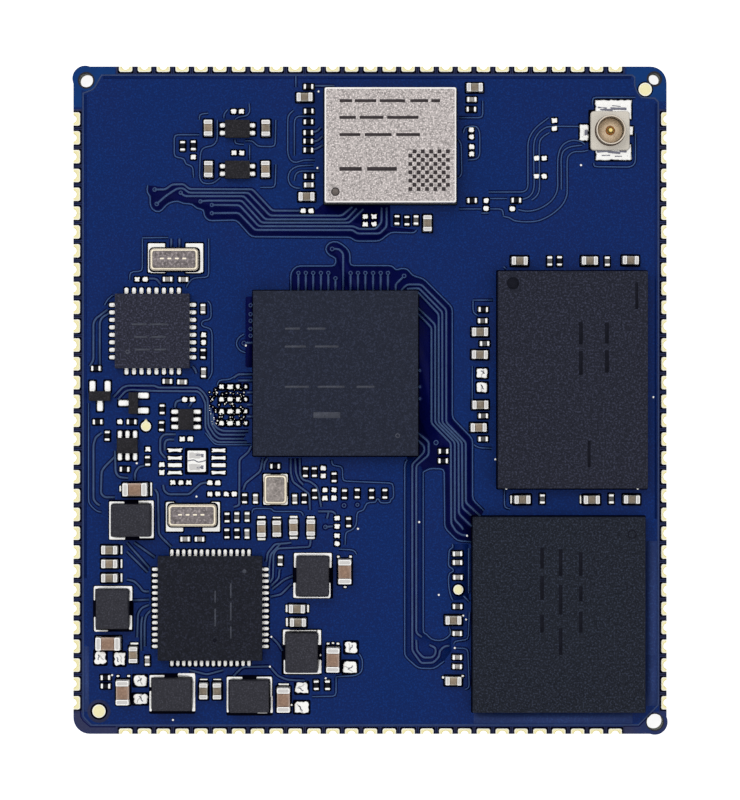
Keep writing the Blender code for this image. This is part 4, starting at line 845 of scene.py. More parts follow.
class BoardSettings(bpy.types.PropertyGroup):
    """Sizes and colours of the bare board"""
    solder_mask_colour: tint("Mask", "Coating over the copper planes", 5, 31, 88)
    mask_clearance_colour: tint("Clearance", "Coating where no copper lies under it", 2, 6, 62)
    soft_clearance_colour: tint("Soft clearance", "Shaded coating beside the planes' edges", 5, 15, 60)
    # A painted sheen inside the plane's edge near the lower corners
    edge_haze_colour: tint("Edge haze", "Paler coating inside the plane's edge", 40, 56, 106)
    shaded_mask_colour: tint("Shaded mask", "Coating just inside the plane's outer edge", 4, 28, 84)
    # Also painted shadow round the ball grid packages, the shield and the crystals
    pad_clearance_colour: tint("Pad clearance", "Gap in the plane round pads and parts", 0, 0, 12)
    # The bare laminate's own grey, and a painted sheen at the lower corners
    haze_mask_colour: tint("Haze", "Bare laminate between pads and at the lower corners", 46, 50, 82)
    corner_mask_colour: tint("Corner mask", "Coating over bare laminate at the upper corners", 5, 48, 105)
    masked_track_colour: tint("Track", "Coating over the tracks", 62, 84, 122)
    faint_track_colour: tint("Faint track", "Coating over narrow tracks and inner plane edges", 60, 88, 134)
    plane_edge_colour: tint("Plane edge", "Coating at the outer edge of the plane", 52, 68, 108)
    plating_colour: tint("Plating", "Gold of the edge pads and round pads", 244, 236, 187)
    # The next two paint a highlight on the pads' bevels and a shade round the half holes
    pad_rim_colour: tint("Pad rim", "Bright bevel of the edge pads", 255, 253, 240)
    notch_rim_colour: tint("Half hole rim shade", "Plating round the half holes", 232, 220, 150)
    laminate_colour: tint("Laminate", "Glass and resin at the cut edges", 96, 100, 84)
    dark_rim_colour: tint("Dark hole rim", "Bare laminate round the corner holes", 24, 24, 34)
    track_width: length_setting("Track width", "Width of the tracks", 0.125)
    edge_line_width: length_setting("Plane edge width", "Width of the lines at the planes' edges", 0.075)
    clearance_width: length_setting("Clearance width", "Width of the dark strip under a track", 0.3)
    pad_width: length_setting("Edge pad width", "Width of an edge pad along the edge", 0.91)
    pad_depth: length_setting("Edge pad depth", "How far an edge pad reaches in", 0.365)


class ChipSettings(bpy.types.PropertyGroup):
    """Colours of the chip parts and their solder"""
    solder_colour: tint("Solder", "Solder fillets and tinned pads", 252, 251, 248)
    # Painted shade in ripples and creases of the solder
    rippled_solder_colour: tint("Rippled solder", "Solder that set unevenly", 120, 120, 134)
    terminal_colour: tint("Terminal", "Tinned ends of the chip parts", 255, 254, 252)
    # Painted shade on the flat tops of the terminals
    worn_terminal_colour: tint("Terminal top shade", "Duller middle of a terminal", 206, 204, 202)
    brown_ceramic_colour: tint("Brown ceramic", "Large ceramic capacitors", 148, 120, 102)
    grey_ceramic_colour: tint("Grey ceramic", "Most small ceramic capacitors", 132, 120, 105)
    tan_ceramic_colour: tint("Tan ceramic", "Some small ceramic capacitors", 148, 131, 112)
    pale_ceramic_colour: tint("Pale ceramic", "Most of the tiny capacitors", 156, 153, 150)
    slate_ceramic_colour: tint("Slate ceramic", "Some of the tiny capacitors", 92, 90, 89)
    # Also the thin lines of painted shadow where the chip parts' ends meet their bodies
    resistor_coat_colour: tint("Resistor", "Glazed top of the chip resistors", 16, 17, 26)
    ferrite_colour: tint("Inductor", "Moulded body of the inductors", 47, 47, 54)


class PackageSettings(bpy.types.PropertyGroup):
    """Colours of the moulded packages"""
    moulding_colour: tint("Moulding", "The processor's package", 31, 35, 49)
    memory_moulding_colour: tint("Memory moulding", "The memory's speckled package", 31, 33, 45)
    flash_moulding_colour: tint("Flash moulding", "The flash memory's package", 24, 28, 38)
    power_moulding_colour: tint("Power moulding", "The power controller's package", 21, 23, 32)
    controller_moulding_colour: tint("Controller moulding", "The microcontroller's package", 39, 40, 53)
    black_moulding_colour: tint("Black moulding", "The small packages with leads", 32, 31, 35)
    package_mark_colour: tint("Mark", "Light marks cut by laser", 74, 77, 88)
    dull_mark_colour: tint("Dull mark", "Marks darker than their package", 18, 19, 29)
    substrate_colour: tint("Substrate", "Thin laminate under the moulding", 30, 36, 34)
    substrate_height: length_setting("Substrate height", "Thickness of the laminate under a package", 0.22)
    ball_radius: length_setting("Ball radius", "Radius of a solder ball", 0.14)


class MetalSettings(bpy.types.PropertyGroup):
    """Colours of the shield, the crystals and the jack"""
    shield_colour: tint("Shield", "Sheet metal over the radio", 192, 184, 182)
    # Painted highlight on the shield's bend
    shield_edge_colour: tint("Shield edge", "Bright bend round the shield", 255, 251, 248)
    shield_mark_colour: tint("Shield mark", "Dark marks on the shield", 62, 56, 58)
    pin_mark_colour: tint("Pin mark", "Shallow dot that marks the shield's first pin", 112, 104, 100)
    crystal_rim_colour: tint("Crystal rim", "Gilt rim round the crystal lids", 255, 244, 222)
    crystal_lid_colour: tint("Crystal lid", "Metal lids of the crystals", 127, 119, 120)
    oscillator_lid_colour: tint("Oscillator lid", "Metal lid of the oscillator", 150, 142, 138)
    jack_plastic_colour: tint("Jack insulator", "Moulded base of the jack", 216, 209, 197)
    jack_shell_colour: tint("Jack shell", "Plated ring of the jack", 232, 218, 200)
    jack_floor_colour: tint("Jack floor", "Tinted bottom of the jack's cup", 240, 212, 176)
    # Also a ring of painted shadow round the jack's shell
    rim_seam_colour: tint("Rim seam", "Thin dark seam in the crystals' rims", 84, 62, 46)
    pin_shade_colour: tint("Pin shade", "Deeper gold round the foot of the jack's pin", 214, 132, 56)
    jack_contact_colour: tint("Jack contact", "Gold pin of the jack", 255, 226, 140)


class StageSettings(bpy.types.PropertyGroup):
    """Floor, lamps and camera"""
    floor_colour: tint("Floor", "Pale floor under the module", 186, 186, 186)
    floor_size: length_setting("Floor size", "Half the floor's side", 1500)
    camera_distance: length_setting("Camera distance", "Camera above the board's face", 220.3)
    lens: bpy.props.FloatProperty(
        name="Lens", description="Focal length in millimetres", default=147.0, min=1.0
    )
    world_light: bpy.props.FloatProperty(
        name="World light", description="How strongly the white surroundings light it", default=0.62, min=0.0
    )
    key_power: bpy.props.FloatProperty(
        name="Key lamp", description="Power of the main lamp", unit="POWER", default=0.62, min=0.0
    )
    fill_power: bpy.props.FloatProperty(
        name="Fill lamp", description="Power of the second lamp", unit="POWER", default=0.25, min=0.0
    )


class ModuleLooks(bpy.types.PropertyGroup):
    """All settings of the module"""
    board: bpy.props.PointerProperty(type=BoardSettings, name="Board", description="The bare board")
    chips: bpy.props.PointerProperty(type=ChipSettings, name="Chips", description="The chip parts")
    packages: bpy.props.PointerProperty(type=PackageSettings, name="Packages", description="The packages")
    metals: bpy.props.PointerProperty(type=MetalSettings, name="Metals", description="Shield, crystals, jack")
    stage: bpy.props.PointerProperty(type=StageSettings, name="Stage", description="Floor, lamps and camera")


# The board


def pad_row(count, shift):
    """Places of evenly spaced half holes along one edge."""
    return [shift + (index - (count - 1) / 2) * PITCH for index in range(count)]


def edge_frames():
    """For each half hole: its middle on the edge, the way along the edge and the way inwards."""
    frames = []
    for x in pad_row(END_COUNT, END_SHIFT):
        frames.append((Vector((x, -HALF_LENGTH)), Vector((1, 0)), Vector((0, 1))))
        frames.append((Vector((x, HALF_LENGTH)), Vector((-1, 0)), Vector((0, -1))))
    for y in pad_row(SIDE_COUNT, SIDE_SHIFT):
        frames.append((Vector((HALF_WIDTH, y)), Vector((0, 1)), Vector((-1, 0))))
        frames.append((Vector((-HALF_WIDTH, y)), Vector((0, -1)), Vector((1, 0))))
    return frames


def notch_points(centre, along, inward):
    """The half hole's curve, in the order of the board's outline."""
    fall = math.degrees(math.acos(NOTCH_OUT / NOTCH_RADIUS))
    points = []
    for x, y in arc(0.0, -NOTCH_OUT, NOTCH_RADIUS, 90 + fall, 90 - fall, NOTCH_STEPS):
        points.append(centre + along * x + inward * y)
    return points


def board_outline():
    """The outline with its half holes, anticlockwise from the lower left corner."""
    fall = math.degrees(math.acos(EAR_INSET[1] / EAR_RADIUS))
    reach = math.degrees(math.acos(EAR_INSET[0] / EAR_RADIUS))
    ear_x, ear_y = HALF_WIDTH - EAR_INSET[0], HALF_LENGTH - EAR_INSET[1]
    inner_x, inner_y = HALF_WIDTH - CORNER_RADIUS, HALF_LENGTH - CORNER_RADIUS
    frames = edge_frames()
    lower = sorted((f for f in frames if f[2].y > 0), key=lambda f: f[0].x)
    upper = sorted((f for f in frames if f[2].y < 0), key=lambda f: -f[0].x)
    right = sorted((f for f in frames if f[2].x < 0), key=lambda f: f[0].y)
    left = sorted((f for f in frames if f[2].x > 0), key=lambda f: -f[0].y)
    points = arc(-inner_x, -inner_y, CORNER_RADIUS, 180, 270, 8)
    for edge, corner in (
        (lower, arc(ear_x, -ear_y, EAR_RADIUS, -90 - fall, reach, 16)),
        (right, arc(inner_x, inner_y, CORNER_RADIUS, 0, 90, 8)),
        (upper, arc(-ear_x, ear_y, EAR_RADIUS, 90 - fall, 180 + reach, 16)),
        (left, []),
    ):
        for item in edge:
            points += [tuple(point) for point in notch_points(*item)]
        points += corner
    return points


def add_filled(shape, outlines, bottom, top):
    """A plate whose first outline is its edge and whose others are holes."""
    curve = bpy.data.curves.new("plate", "CURVE")
    curve.dimensions = "2D"
    curve.fill_mode = "BOTH"
    curve.extrude = (top - bottom) / 2
    for outline in outlines:
        spline = curve.splines.new("POLY")
        spline.points.add(len(outline) - 1)
        for point, (x, y) in zip(spline.points, outline):
            point.co = (x, y, 0.0, 1.0)
        spline.use_cyclic_u = True
    source = bpy.data.objects.new("plate", curve)
    bpy.context.scene.collection.objects.link(source)
    graph = bpy.context.evaluated_depsgraph_get()
    mesh = bpy.data.meshes.new_from_object(source.evaluated_get(graph))
    mesh.transform(Matrix.Translation((0.0, 0.0, (top + bottom) / 2)))
    shape.from_mesh(mesh)
    bpy.data.objects.remove(source, do_unlink=True)
    bpy.data.meshes.remove(mesh)
    bmesh.ops.remove_doubles(shape, verts=shape.verts, dist=0.0005)
    bmesh.ops.recalc_face_normals(shape, faces=shape.faces)


def make_board():
    """The laminate with its mask on both faces, and plated half holes."""
    shape = bmesh.new()
    add_filled(shape, [board_outline(), *map(hole_outline, CORNER_HOLES)], FACE_INSET, TOP)
    for face in shape.faces:
        middle = face.calc_center_median()
        from_edge = min(HALF_WIDTH - abs(middle.x), HALF_LENGTH - abs(middle.y))
        if abs(face.normal.z) > 0.5:
            face.material_index = 0
        elif 0.005 < from_edge < 2 * NOTCH_RADIUS and not near_corner(middle):
            face.material_index = 2
        else:
            face.material_index = 1
    settle(shape, "laminate_board", ("solder_mask", "laminate", "plating"), "mask", "board")


def near_corner(point):
    """Whether a point of the outline lies on one of the round corners."""
    return abs(point.x) > HALF_WIDTH - CORNER_ZONE[0] and abs(point.y) > HALF_LENGTH - CORNER_ZONE[1]


def laid(points, seat, height):
    """An edge pad's points, brought to its half hole. The left pads reach further in."""
    centre, along, inward = seat
    extra = LEFT_PAD_EXTRA if inward.x > 0 else 0.0
    return [
        (*(centre + along * x + inward * (y + (extra if y > 0.2 and abs(x) > 0.25 else 0.0))), height)
        for x, y in points
    ]


def pad_outline(half_width, depth, corner, notch, foot):
    """An edge pad's outline round its half hole, along the edge and inwards from it."""
    fall = math.degrees(math.acos(NOTCH_OUT / NOTCH_RADIUS))
    points = [(half_width, foot), *arc(half_width - corner, depth - corner, corner, 0, 90, 4)]
    points += [*arc(corner - half_width, depth - corner, corner, 90, 180, 4), (-half_width, foot)]
    return points + arc(0.0, -NOTCH_OUT, notch, 90 + fall, 90 - fall, NOTCH_STEPS)


def tint_bevel(faces):
    """Gives a pad's bevel a painted highlight along its sides and a painted shade round its half hole."""
    for face in faces[:-NOTCH_STEPS - 2]:
        face.material_index = 1
    for face in faces[-NOTCH_STEPS - 1:-1]:
        face.material_index = 2


def make_edge_pads(looks):
    """The gold pads over and under each half hole, and the dark gaps round them."""
    width, depth = looks.pad_width / MM / 2, looks.pad_depth / MM
    lower = pad_outline(width, depth, 0.14, NOTCH_RADIUS, 0.0)
    upper = pad_outline(width - PAD_RIM, depth - PAD_RIM, 0.1, NOTCH_RADIUS + PAD_RIM * 0.8, 0.012)
    near = pad_outline(width + 0.09, depth + 0.1, 0.1, NOTCH_RADIUS + 0.02, 0.004)
    wide = pad_outline(width + 0.2, depth + 0.13, 0.03, NOTCH_RADIUS + 0.02, 0.004)
    gold, dark = bmesh.new(), bmesh.new()
    count = len(lower)
    for seat in edge_frames():
        above = ((lower, TOP + SUNK), (lower, TOP + 0.008), (upper, TOP + PAD_LEVEL))
        faces = loft(gold, [laid(points, seat, height) for points, height in above])
        tint_bevel(faces[count:2 * count])
        below = ((upper, 0.0), (lower, FACE_INSET - 0.008), (lower, FACE_INSET - SUNK))
        faces = loft(gold, [laid(points, seat, height) for points, height in below])
        tint_bevel(faces[:count])
        for points, level, finish in ((wide, SHADE_LEVEL - 0.001, 1), (near, SHADE_LEVEL, 0)):
            for bottom, top in ((TOP + SUNK, TOP + level), (FACE_INSET - level, FACE_INSET - SUNK)):
                loft(dark, (laid(points, seat, bottom), laid(points, seat, top)), finish)
    settle(gold, "edge_pads", ("plating", "pad_rim", "notch_rim"), "plating")
    settle(dark, "edge_pad_gaps", ("pad_clearance", "haze_mask"), "mask")


def make_corner_rims():
    """The bare rims round the corner holes, on both faces."""
    shape = bmesh.new()
    for x, y, radius, rim in CORNER_HOLES:
        for bottom, top in LINE_LAYERS:
            add_ring(shape, at(x, y, height=0.0), rim, radius, bottom, top, steps=32)
    settle(shape, "corner_hole_rims", ("dark_rim",), "mask")


def make_corner_masks():
    """The coating over bare laminate beyond the plane's edge, at the four corners, with a painted sheen at
    the two lower ones.
    """
    shape = bmesh.new()
    ear_x, ear_y = HALF_WIDTH - EAR_INSET[0], HALF_LENGTH - EAR_INSET[1]
    inner_x, inner_y = HALF_WIDTH - CORNER_RADIUS, HALF_LENGTH - CORNER_RADIUS
    edge = CORNER_RADIUS - 0.04
    upper_left = [
        (-18.1, 21.98), (-17.2, 21.98), (-17.2, 22.46), (-18.9, 22.46),
        *arc(-ear_x, ear_y, 0.82, 68, 203, 12), (-19.96, 19.75), (-19.46, 19.75), (-19.46, 20.9),
        *arc(-19.14, 21.57, 0.7, -110, -20, 6),
    ]
    upper_right = [
        (17.95, 21.2), (18.1, 20.75), (18.35, 20.48), (19.2, 20.42), (19.5, 20.15), (19.96, 20.15),
        *arc(inner_x, inner_y, edge, 0, 90, 8), (17.3, 22.46), (17.3, 21.98), (17.72, 21.98),
    ]
    lower_left = [
        *arc(-inner_x, -inner_y, edge, 180, 270, 8), (-17.1, -22.46), (-17.1, -21.98), (-18.82, -21.98),
        (-19.3, -21.54), (-19.46, -21.32), (-19.46, -20.98), (-19.96, -20.98),
    ]
    lower_right = [
        (17.1, -22.46), *arc(ear_x, -ear_y, 0.82, -112, 23, 12), (19.96, -21.0), (19.08, -21.0),
        (18.14, -21.96), (17.1, -21.96),
    ]
    for outline, holes, finish in (
        (upper_left, CORNER_HOLES[:1], 0), (upper_right, CORNER_HOLES[1:2], 0),
        (lower_right, CORNER_HOLES[2:], 1), (lower_left, (), 1),
    ):
        patch = bmesh.new()
        edges = [outline, *(hole_outline(hole, 0.05) for hole in holes)]
        add_filled(patch, edges, TOP + SUNK, TOP + PATCH_LEVEL)
        for face in patch.faces:
            face.material_index = finish
        mesh = bpy.data.meshes.new("patch")
        patch.to_mesh(mesh)
        patch.free()
        shape.from_mesh(mesh)
        bpy.data.meshes.remove(mesh)
    settle(shape, "corner_masks", ("corner_mask", "haze_mask"), "mask")


def plane_edge_line():
    """The plane's outer edge, which is cut off at the corner holes."""
    return [
        (-18.78, -21.92), (18.1, -21.9), (19.44, -20.55), (19.44, 20.1), (19.2, 20.36), (18.3, 20.42),
        (18.05, 20.7), (17.85, 21.2), (17.85, 21.75), (17.7, 21.92), (-18.1, 21.92),
        *arc(-19.14, 21.57, 0.74, -20, -75, 5), (-19.35, 20.7), (-19.35, -21.3), (-19.22, -21.48),
    ]


def make_tracks(looks):
    """Tracks, the planes' edges and the dark strips between them, as they show through the mask."""
    dark, lines, edges, dots = bmesh.new(), bmesh.new(), bmesh.new(), bmesh.new()
    track, gap, rim = looks.track_width / MM, looks.clearance_width / MM, looks.edge_line_width / MM
    base, shade, line = TOP + SUNK, TOP + SHADE_LEVEL, TOP + LINE_LEVEL
    for index, bends in enumerate(TRACKS):
        points = eased(bends, TRACK_BEND)
        soft = all(x < SOFT_FIELD[0] and y < SOFT_FIELD[1] for x, y in points)
        add_ribbon(dark, points, gap, base, shade + LEVEL_STEP * index, 1 if soft else 0)
        add_ribbon(lines, points, track, base, line + LEVEL_STEP * index)
    ways = [eased(bends, EDGE_BEND) for bends in POUR_EDGES] + [smooth_line(bends) for bends in CURVED_TRACKS]
    for index, points in enumerate(ways, 1):
        add_ribbon(dark, points, EDGE_GAP_WIDTH, base, shade - LEVEL_STEP * index, 1)
        add_ribbon(lines, points, rim, base, line - 2.5 * LEVEL_STEP * index, 1)
    for strip in DARK_STRIPS:
        x, y, half_x, half_y = strip_box(strip)
        add_stack(dark, at(x, y), half_x, half_y, plate_levels(SUNK, STRIP_LEVEL, 0.15))
    for index, (finish, outline) in enumerate(DARK_AREAS):
        add_area(dark, outline[::-1], base, TOP + AREA_LEVEL + AREA_STEP * index, finish)
    for bottom, top in LINE_LAYERS:
        add_ribbon(edges, plane_edge_line(), OUTER_LINE_WIDTH, bottom, top, closed=True)
    for points in OUTER_SEAMS:
        add_ribbon(edges, points, SEAM_WIDTH, base, shade, 2)
    # Shaded bands, and bands of painted sheen near the lower corners
    for strips, finish in ((PLANE_SHADES, 1), (PLANE_SHEENS, 3)):
        for index, (left, bottom, right, top) in enumerate(strips):
            corners = ((left, bottom), (right, bottom), (right, top), (left, top))
            add_area(edges, corners, base, TOP + BAND_LEVEL + AREA_STEP * index, finish)
    for x, y, radius in VIA_RINGS:
        add_disc(dark, at(x, y), radius + VIA_GAP, SUNK, SHADE_LEVEL + 0.001, steps=16)
        add_ring(lines, at(x, y), radius, radius - VIA_RIM, SUNK, LINE_LEVEL + 0.002, steps=16)
    for x, y in BRIGHT_DOTS:
        add_turned(dots, at(x, y), ((0.075, SUNK), (0.075, 0.02), (0.04, 0.03)), steps=12)
    settle(dark, "mask_clearances", ("mask_clearance", "soft_clearance", "shaded_mask"), "mask")
    settle(lines, "masked_tracks", ("masked_track", "faint_track"), "mask")
    settle(edges, "plane_edges", ("plane_edge", "shaded_mask", "mask_clearance", "edge_haze"), "mask")
    settle(dots, "solder_dots", ("solder",), "solder")


# Solder and chip parts


def add_gap(shape, place, half_x, half_y, centre=(0.0, 0.0), margin=0.1):
    """The dark gap in the plane round a pad. Round the ball grid packages, the shield and the crystals
    the same dark plate is painted shadow.
    """
    levels = plate_levels(SUNK, SHADE_LEVEL + 0.001, margin)
    add_stack(shape, place, half_x + margin, half_y + margin, levels, 0, centre)


def add_pad(shape, place, half_x, half_y, height, corner, finish=0, centre=(0.0, 0.0)):
    """A pad with softly rounded upper edges."""
    edge = min(height * 0.8, half_x * 0.3, half_y * 0.3)
    add_stack(shape, place, half_x, half_y, block_levels(SUNK, height, corner, edge), finish, centre)


def add_blob(shape, place, half_x, half_y, height, draw, pinch=0.12, finish=0, softness=(0.3, 0.85)):
    """An uneven drop of solder on a pad: some are round, others drawn in between their corners."""
    least = min(half_x, half_y)
    outline = rounded(half_x, half_y, least * draw.uniform(*softness), 2)
    pinch *= draw.choice((0.4, 1.0, 1.5))
    taper = draw.uniform(-1.2, 1.2) * pinch * least
    spread = []
    for index, (x, y) in enumerate(outline):
        here, after = Vector((x, y)), Vector(outline[(index + 1) % len(outline)])
        spread.append(here)
        if index % 3 == 2:
            parts = max(2, round((after - here).length / 0.16))
            dip = pinch * draw.uniform(0.2, 1.7) * least
            inward = Vector((here.y - after.y, after.x - here.x)).normalized()
            for part in range(1, parts):
                share = part / parts
                spread.append(here.lerp(after, share) + inward * dip * 4 * share * (1 - share))
    for point in spread:
        point += point.normalized() * draw.uniform(-0.14, 0.14) * min(least, 0.35)
        point.x += taper * point.x / half_x * point.y / half_y
    rings = []
    for share, rise in ((1.0, 0.0), (1.0, 0.3), (0.9, 0.75), (0.66, 1.0), (0.3, 0.9)):
        ring = []
        for x, y in spread:
            lift = height * rise * (1.0 + (draw.uniform(-0.2, 0.2) if rise > 0.5 else 0.0))
            ring.append(place @ Vector((x * share, y * share, lift)))
        rings.append(ring)
    loft(shape, rings, finish)


def add_dished(shape, place, half_x, half_y, bottom, top, corner, finishes, centre=(0.0, 0.0)):
    """A tinned block with a bright rounded rim and a slightly sunken top, whose duller grey is painted shade.
    """
    bright, shaded_top = finishes
    soft = 0.3 * min(half_x, half_y)
    faces = add_stack(shape, place, half_x, half_y, (
        (bottom, 0.0, corner), (top - soft * 0.5, 0.0, corner), (top, soft * 0.6, corner),
        (top - 0.004, soft * 1.25, corner),
    ), bright, centre)
    faces[-1].material_index = shaded_top


def add_fillet(shape, place, side, terminal, height, finish):
    """Solder that climbs one end of a chip part. Terminal: inner end, outer end, half width."""
    inner, outer, half_width = terminal
    rings = []
    for rise, spread in ((0.0, 1.0), (0.08, 1.0), (0.2, 0.6), (0.45, 0.2), (0.6, -0.1)):
        reach = outer + 0.04 * spread
        outline = rounded((reach - inner) / 2, half_width + 0.02 * spread, 0.05, 2)
        middle = side * (reach + inner) / 2
        rings.append([place @ Vector((middle + x, y, height * rise)) for x, y in outline])
    loft(shape, rings, finish)


def add_chip(shape, place, size, finishes=(0, 1, 2, 3, 4)):
    """A chip part: its body, two tinned ends and the solder that holds them.

    A thin dark line where each end meets the body is painted shadow.
    """
    half_x, half_y, height, terminal = size
    body, bright, shaded_top, solder, seam = finishes
    step, soft = 0.04 * half_y, 0.2 * half_y
    low, high = 0.02 + step, height - step
    add_stack(shape, place, half_x - terminal * 0.5, half_y - step, (
        (low, (0.0, soft), soft), (low + soft, 0.0, soft), (high - soft * 2.2, 0.0, soft),
        (high, (0.0, soft), soft),
    ), body, steps=1)
    # A thin dark line of painted shadow where each end meets the body
    for side in (-1, 1):
        middle = (side * (half_x - terminal - 0.012), 0.0)
        levels = block_levels(high - 0.01, high + 0.002, 0.004, 0.001)
        add_stack(shape, place, 0.014, half_y - step - soft, levels, seam, middle, steps=1)
    for side in (-1, 1):
        middle = (side * (half_x - terminal / 2), 0.0)
        add_dished(shape, place, terminal / 2, half_y, 0.02, height, soft * 0.9, (bright, shaded_top), middle)
        add_fillet(shape, place, side, (half_x - terminal * 0.9, half_x, half_y), height, solder)


def settle_gaps(shape, name):
    """The dark gaps round pads or parts, as one piece of the mask. Round some larger parts they are
    painted shadow.
    """
    settle(shape, name, ("pad_clearance",), "mask")


def make_tiny_parts(draw):
    """The smallest resistors and capacitors, which the frame fuses to its board."""
    shape, gaps = bmesh.new(), bmesh.new()
    for places, size, bodies in (
        (TINY_CAPACITOR_PLACES, TINY_CAPACITOR, (1, 2)), (TINY_RESISTOR_PLACES, TINY_RESISTOR, (0, 0)),
    ):
        for index, (x, y, turn) in enumerate(places):
            off_x, off_y, off_turn = (draw.uniform(-reach, reach) for reach in (0.015, 0.015, 1.5))
            place = at(x + off_x, y + off_y, turn + off_turn)
            add_chip(shape, place, size, (bodies[index in SLATE_CAPACITORS], 3, 3, 4, 0))
            add_gap(gaps, place, 0.35, 0.18, margin=0.09)
    finishes = ("resistor_coat", "pale_ceramic", "slate_ceramic", "terminal", "solder")
    settle(shape, "tiny_chip_parts", finishes, "ceramic")
    settle_gaps(gaps, "tiny_part_gaps")


def long_turn(half_x, half_y):
    """Which way a part lies, from its box."""
    return 0.0 if half_x > half_y else 90.0


def make_capacitors(draw):
    """The small and large ceramic capacitors."""
    gaps = bmesh.new()
    for family, count, name, size, digits in (
        ("small_capacitor", 24, "small_ceramic", SMALL_CHIP, 2),
        ("large_capacitor", 6, "large_ceramic", LARGE_CHIP, 1),
    ):
        for index in range(1, count + 1):
            node = f"{family}_{index:0{digits}d}"
            x, y, half_x, half_y = seat_of(node)[:4]
            place = at(x, y, long_turn(half_x, half_y) + draw.uniform(-0.8, 0.8))
            body = "tan_ceramic" if index in TAN_CAPACITORS else "grey_ceramic"
            if size is LARGE_CHIP:
                body = "brown_ceramic"
            shape = bmesh.new()
            add_chip(shape, place, size)
            add_gap(gaps, place, size[0] + 0.05, size[1] + 0.03)
            finishes = (body, "terminal", "worn_terminal", "solder", "resistor_coat")
            settle(shape, f"{name}_{index:0{digits}d}", finishes, "ceramic", node)
    shape = bmesh.new()
    for index, (x, y, turn) in enumerate(FUSED_CAPACITOR_PLACES):
        place = at(x, y, turn + draw.uniform(-0.8, 0.8))
        add_chip(shape, place, SMALL_CHIP, (4 if index in TAN_FUSED_CAPACITORS else 0, 1, 2, 3, 5))
        add_gap(gaps, place, SMALL_CHIP[0] + 0.06, SMALL_CHIP[1] + 0.05)
    finishes = ("grey_ceramic", "terminal", "worn_terminal", "solder", "tan_ceramic", "resistor_coat")
    settle(shape, "fused_small_ceramics", finishes, "ceramic")
    settle_gaps(gaps, "capacitor_gaps")


def add_crease(shape, place, offset, reach, bend, width, finish=2):
    """A wavy crease in the solder of a large pad, drawn as a flat strip of painted shade."""
    points = (
        (-reach, offset), (-reach * 0.3, offset + bend), (reach * 0.2, offset - bend),
        (reach, offset + bend * 0.6),
    )
    curve = [(place @ Vector((*point, 0.0))).to_2d() for point in smooth_line(points)]
    add_ribbon(shape, curve, width, TOP + 0.02, TOP + 0.041, finish)


def make_bare_pads(draw):
    """Pads that carry nothing: small and large solder lands, and the round gold pads."""
    gold, tinned, gaps = bmesh.new(), bmesh.new(), bmesh.new()
    small = [(x, y, *SMALL_PAD) for x, y in SMALL_PAD_PLACES]
    small += [(x, y, *half) for x, half in zip(PAD_GRID_COLUMNS, PAD_GRID_SIZES) for y in PAD_GRID_ROWS]
    for x, y, half_x, half_y in small:
        add_blob(tinned, at(x, y, draw.uniform(-6, 6)), half_x, half_y, 0.03, draw, 0.13)
        add_gap(gaps, at(x, y), half_x, half_y, margin=0.14 if x in PAD_GRID_COLUMNS else 0.09)
    for x in EMPTY_LAND_COLUMNS:
        for y in EMPTY_LAND_ROWS:
            add_blob(tinned, at(x, y), *EMPTY_LAND, 0.035, draw, 0.3, softness=(0.3, 0.5))
            add_gap(gaps, at(x, y), *EMPTY_LAND)
    for x, y, half_x, half_y in LARGE_PAD_PLACES:
        add_blob(tinned, at(x, y), half_x, half_y, 0.035, draw, 0.1, softness=(0.35, 0.6))
        # Two creases of painted shade, a dark one and a grey one
        for finish, reach in ((2, 0.45), (1, 0.7)):
            place = at(x, y, draw.uniform(30, 150))
            add_crease(tinned, place, draw.uniform(-0.35, 0.35) * half_y, reach * half_x, 0.03, 0.07, finish)
        add_gap(gaps, at(x, y), half_x, half_y, margin=0.12)
    x, y, half_x, half_y = CENTRE_PAD
    place = at(x, y)
    add_dished(tinned, place, half_x, half_y, SUNK, 0.03, 0.08, (0, 0))
    for offset_x, offset_y, wide, long, finish in CENTRE_PAD_MARKS:
        spot = place @ Matrix.Translation((offset_x, offset_y, 0.003 * finish))
        add_blob(tinned, spot, wide, long, 0.032, draw, 0.15, finish)
    add_crease(tinned, place, 0.02, 0.9 * half_x, 0.07, 0.07)
    add_gap(gaps, place, half_x, half_y)
    for x, y, half_x, half_y in SOLDER_BIT_PLACES:
        add_blob(tinned, at(x, y), half_x, half_y, 0.03, draw, 0.04)
        add_gap(gaps, at(x, y), half_x, half_y, margin=0.07)
    left, bottom, right, top = SPLASH_FIELD
    for _ in range(SPLASH_COUNT):
        size = draw.uniform(0.02, 0.055)
        place = at(draw.uniform(left, right), draw.uniform(bottom, top), draw.uniform(0, 90))
        add_blob(tinned, place, size, size * draw.uniform(0.4, 1.0), 0.024, draw)
        add_gap(gaps, place, size, size * 0.7, margin=draw.uniform(0.05, 0.16))
    for x, y, radius, clear in ROUND_PAD_PLACES:
        place = at(x, y)
        add_disc(gaps, place, clear, SUNK, SHADE_LEVEL + 0.002, steps=32)
        # The outer bevel takes the painted highlight of the edge pads' bevels
        add_turned(gold, place, ((radius, SUNK), (radius, 0.014), (radius - 0.03, 0.022)), 1, steps=32)
        add_turned(gold, place, ((radius - 0.06, 0.02), (radius - 0.07, 0.026)), steps=32)
    # A ring of painted sheen round the lower left round pad
    x, y, _, clear = ROUND_PAD_PLACES[1]
    add_disc(gaps, at(x, y), clear + 0.2, SUNK, 0.0012, 1, steps=32)
    x, y, *_ = ROUND_PAD_PLACES[2]
    tip = ((x - 0.2, y + 0.22), (x + 0.2, y + 0.22), (x + 0.04, y + 0.5), (x - 0.04, y + 0.5))
    add_area(gold, tip, TOP + SUNK, TOP + 0.02)
    settle(gold, "round_gold_pads", ("plating", "pad_rim"), "plating")
    settle(tinned, "tinned_pads", ("solder", "worn_terminal", "rippled_solder"), "solder")
    settle(gaps, "bare_pad_gaps", ("pad_clearance", "haze_mask"), "mask")


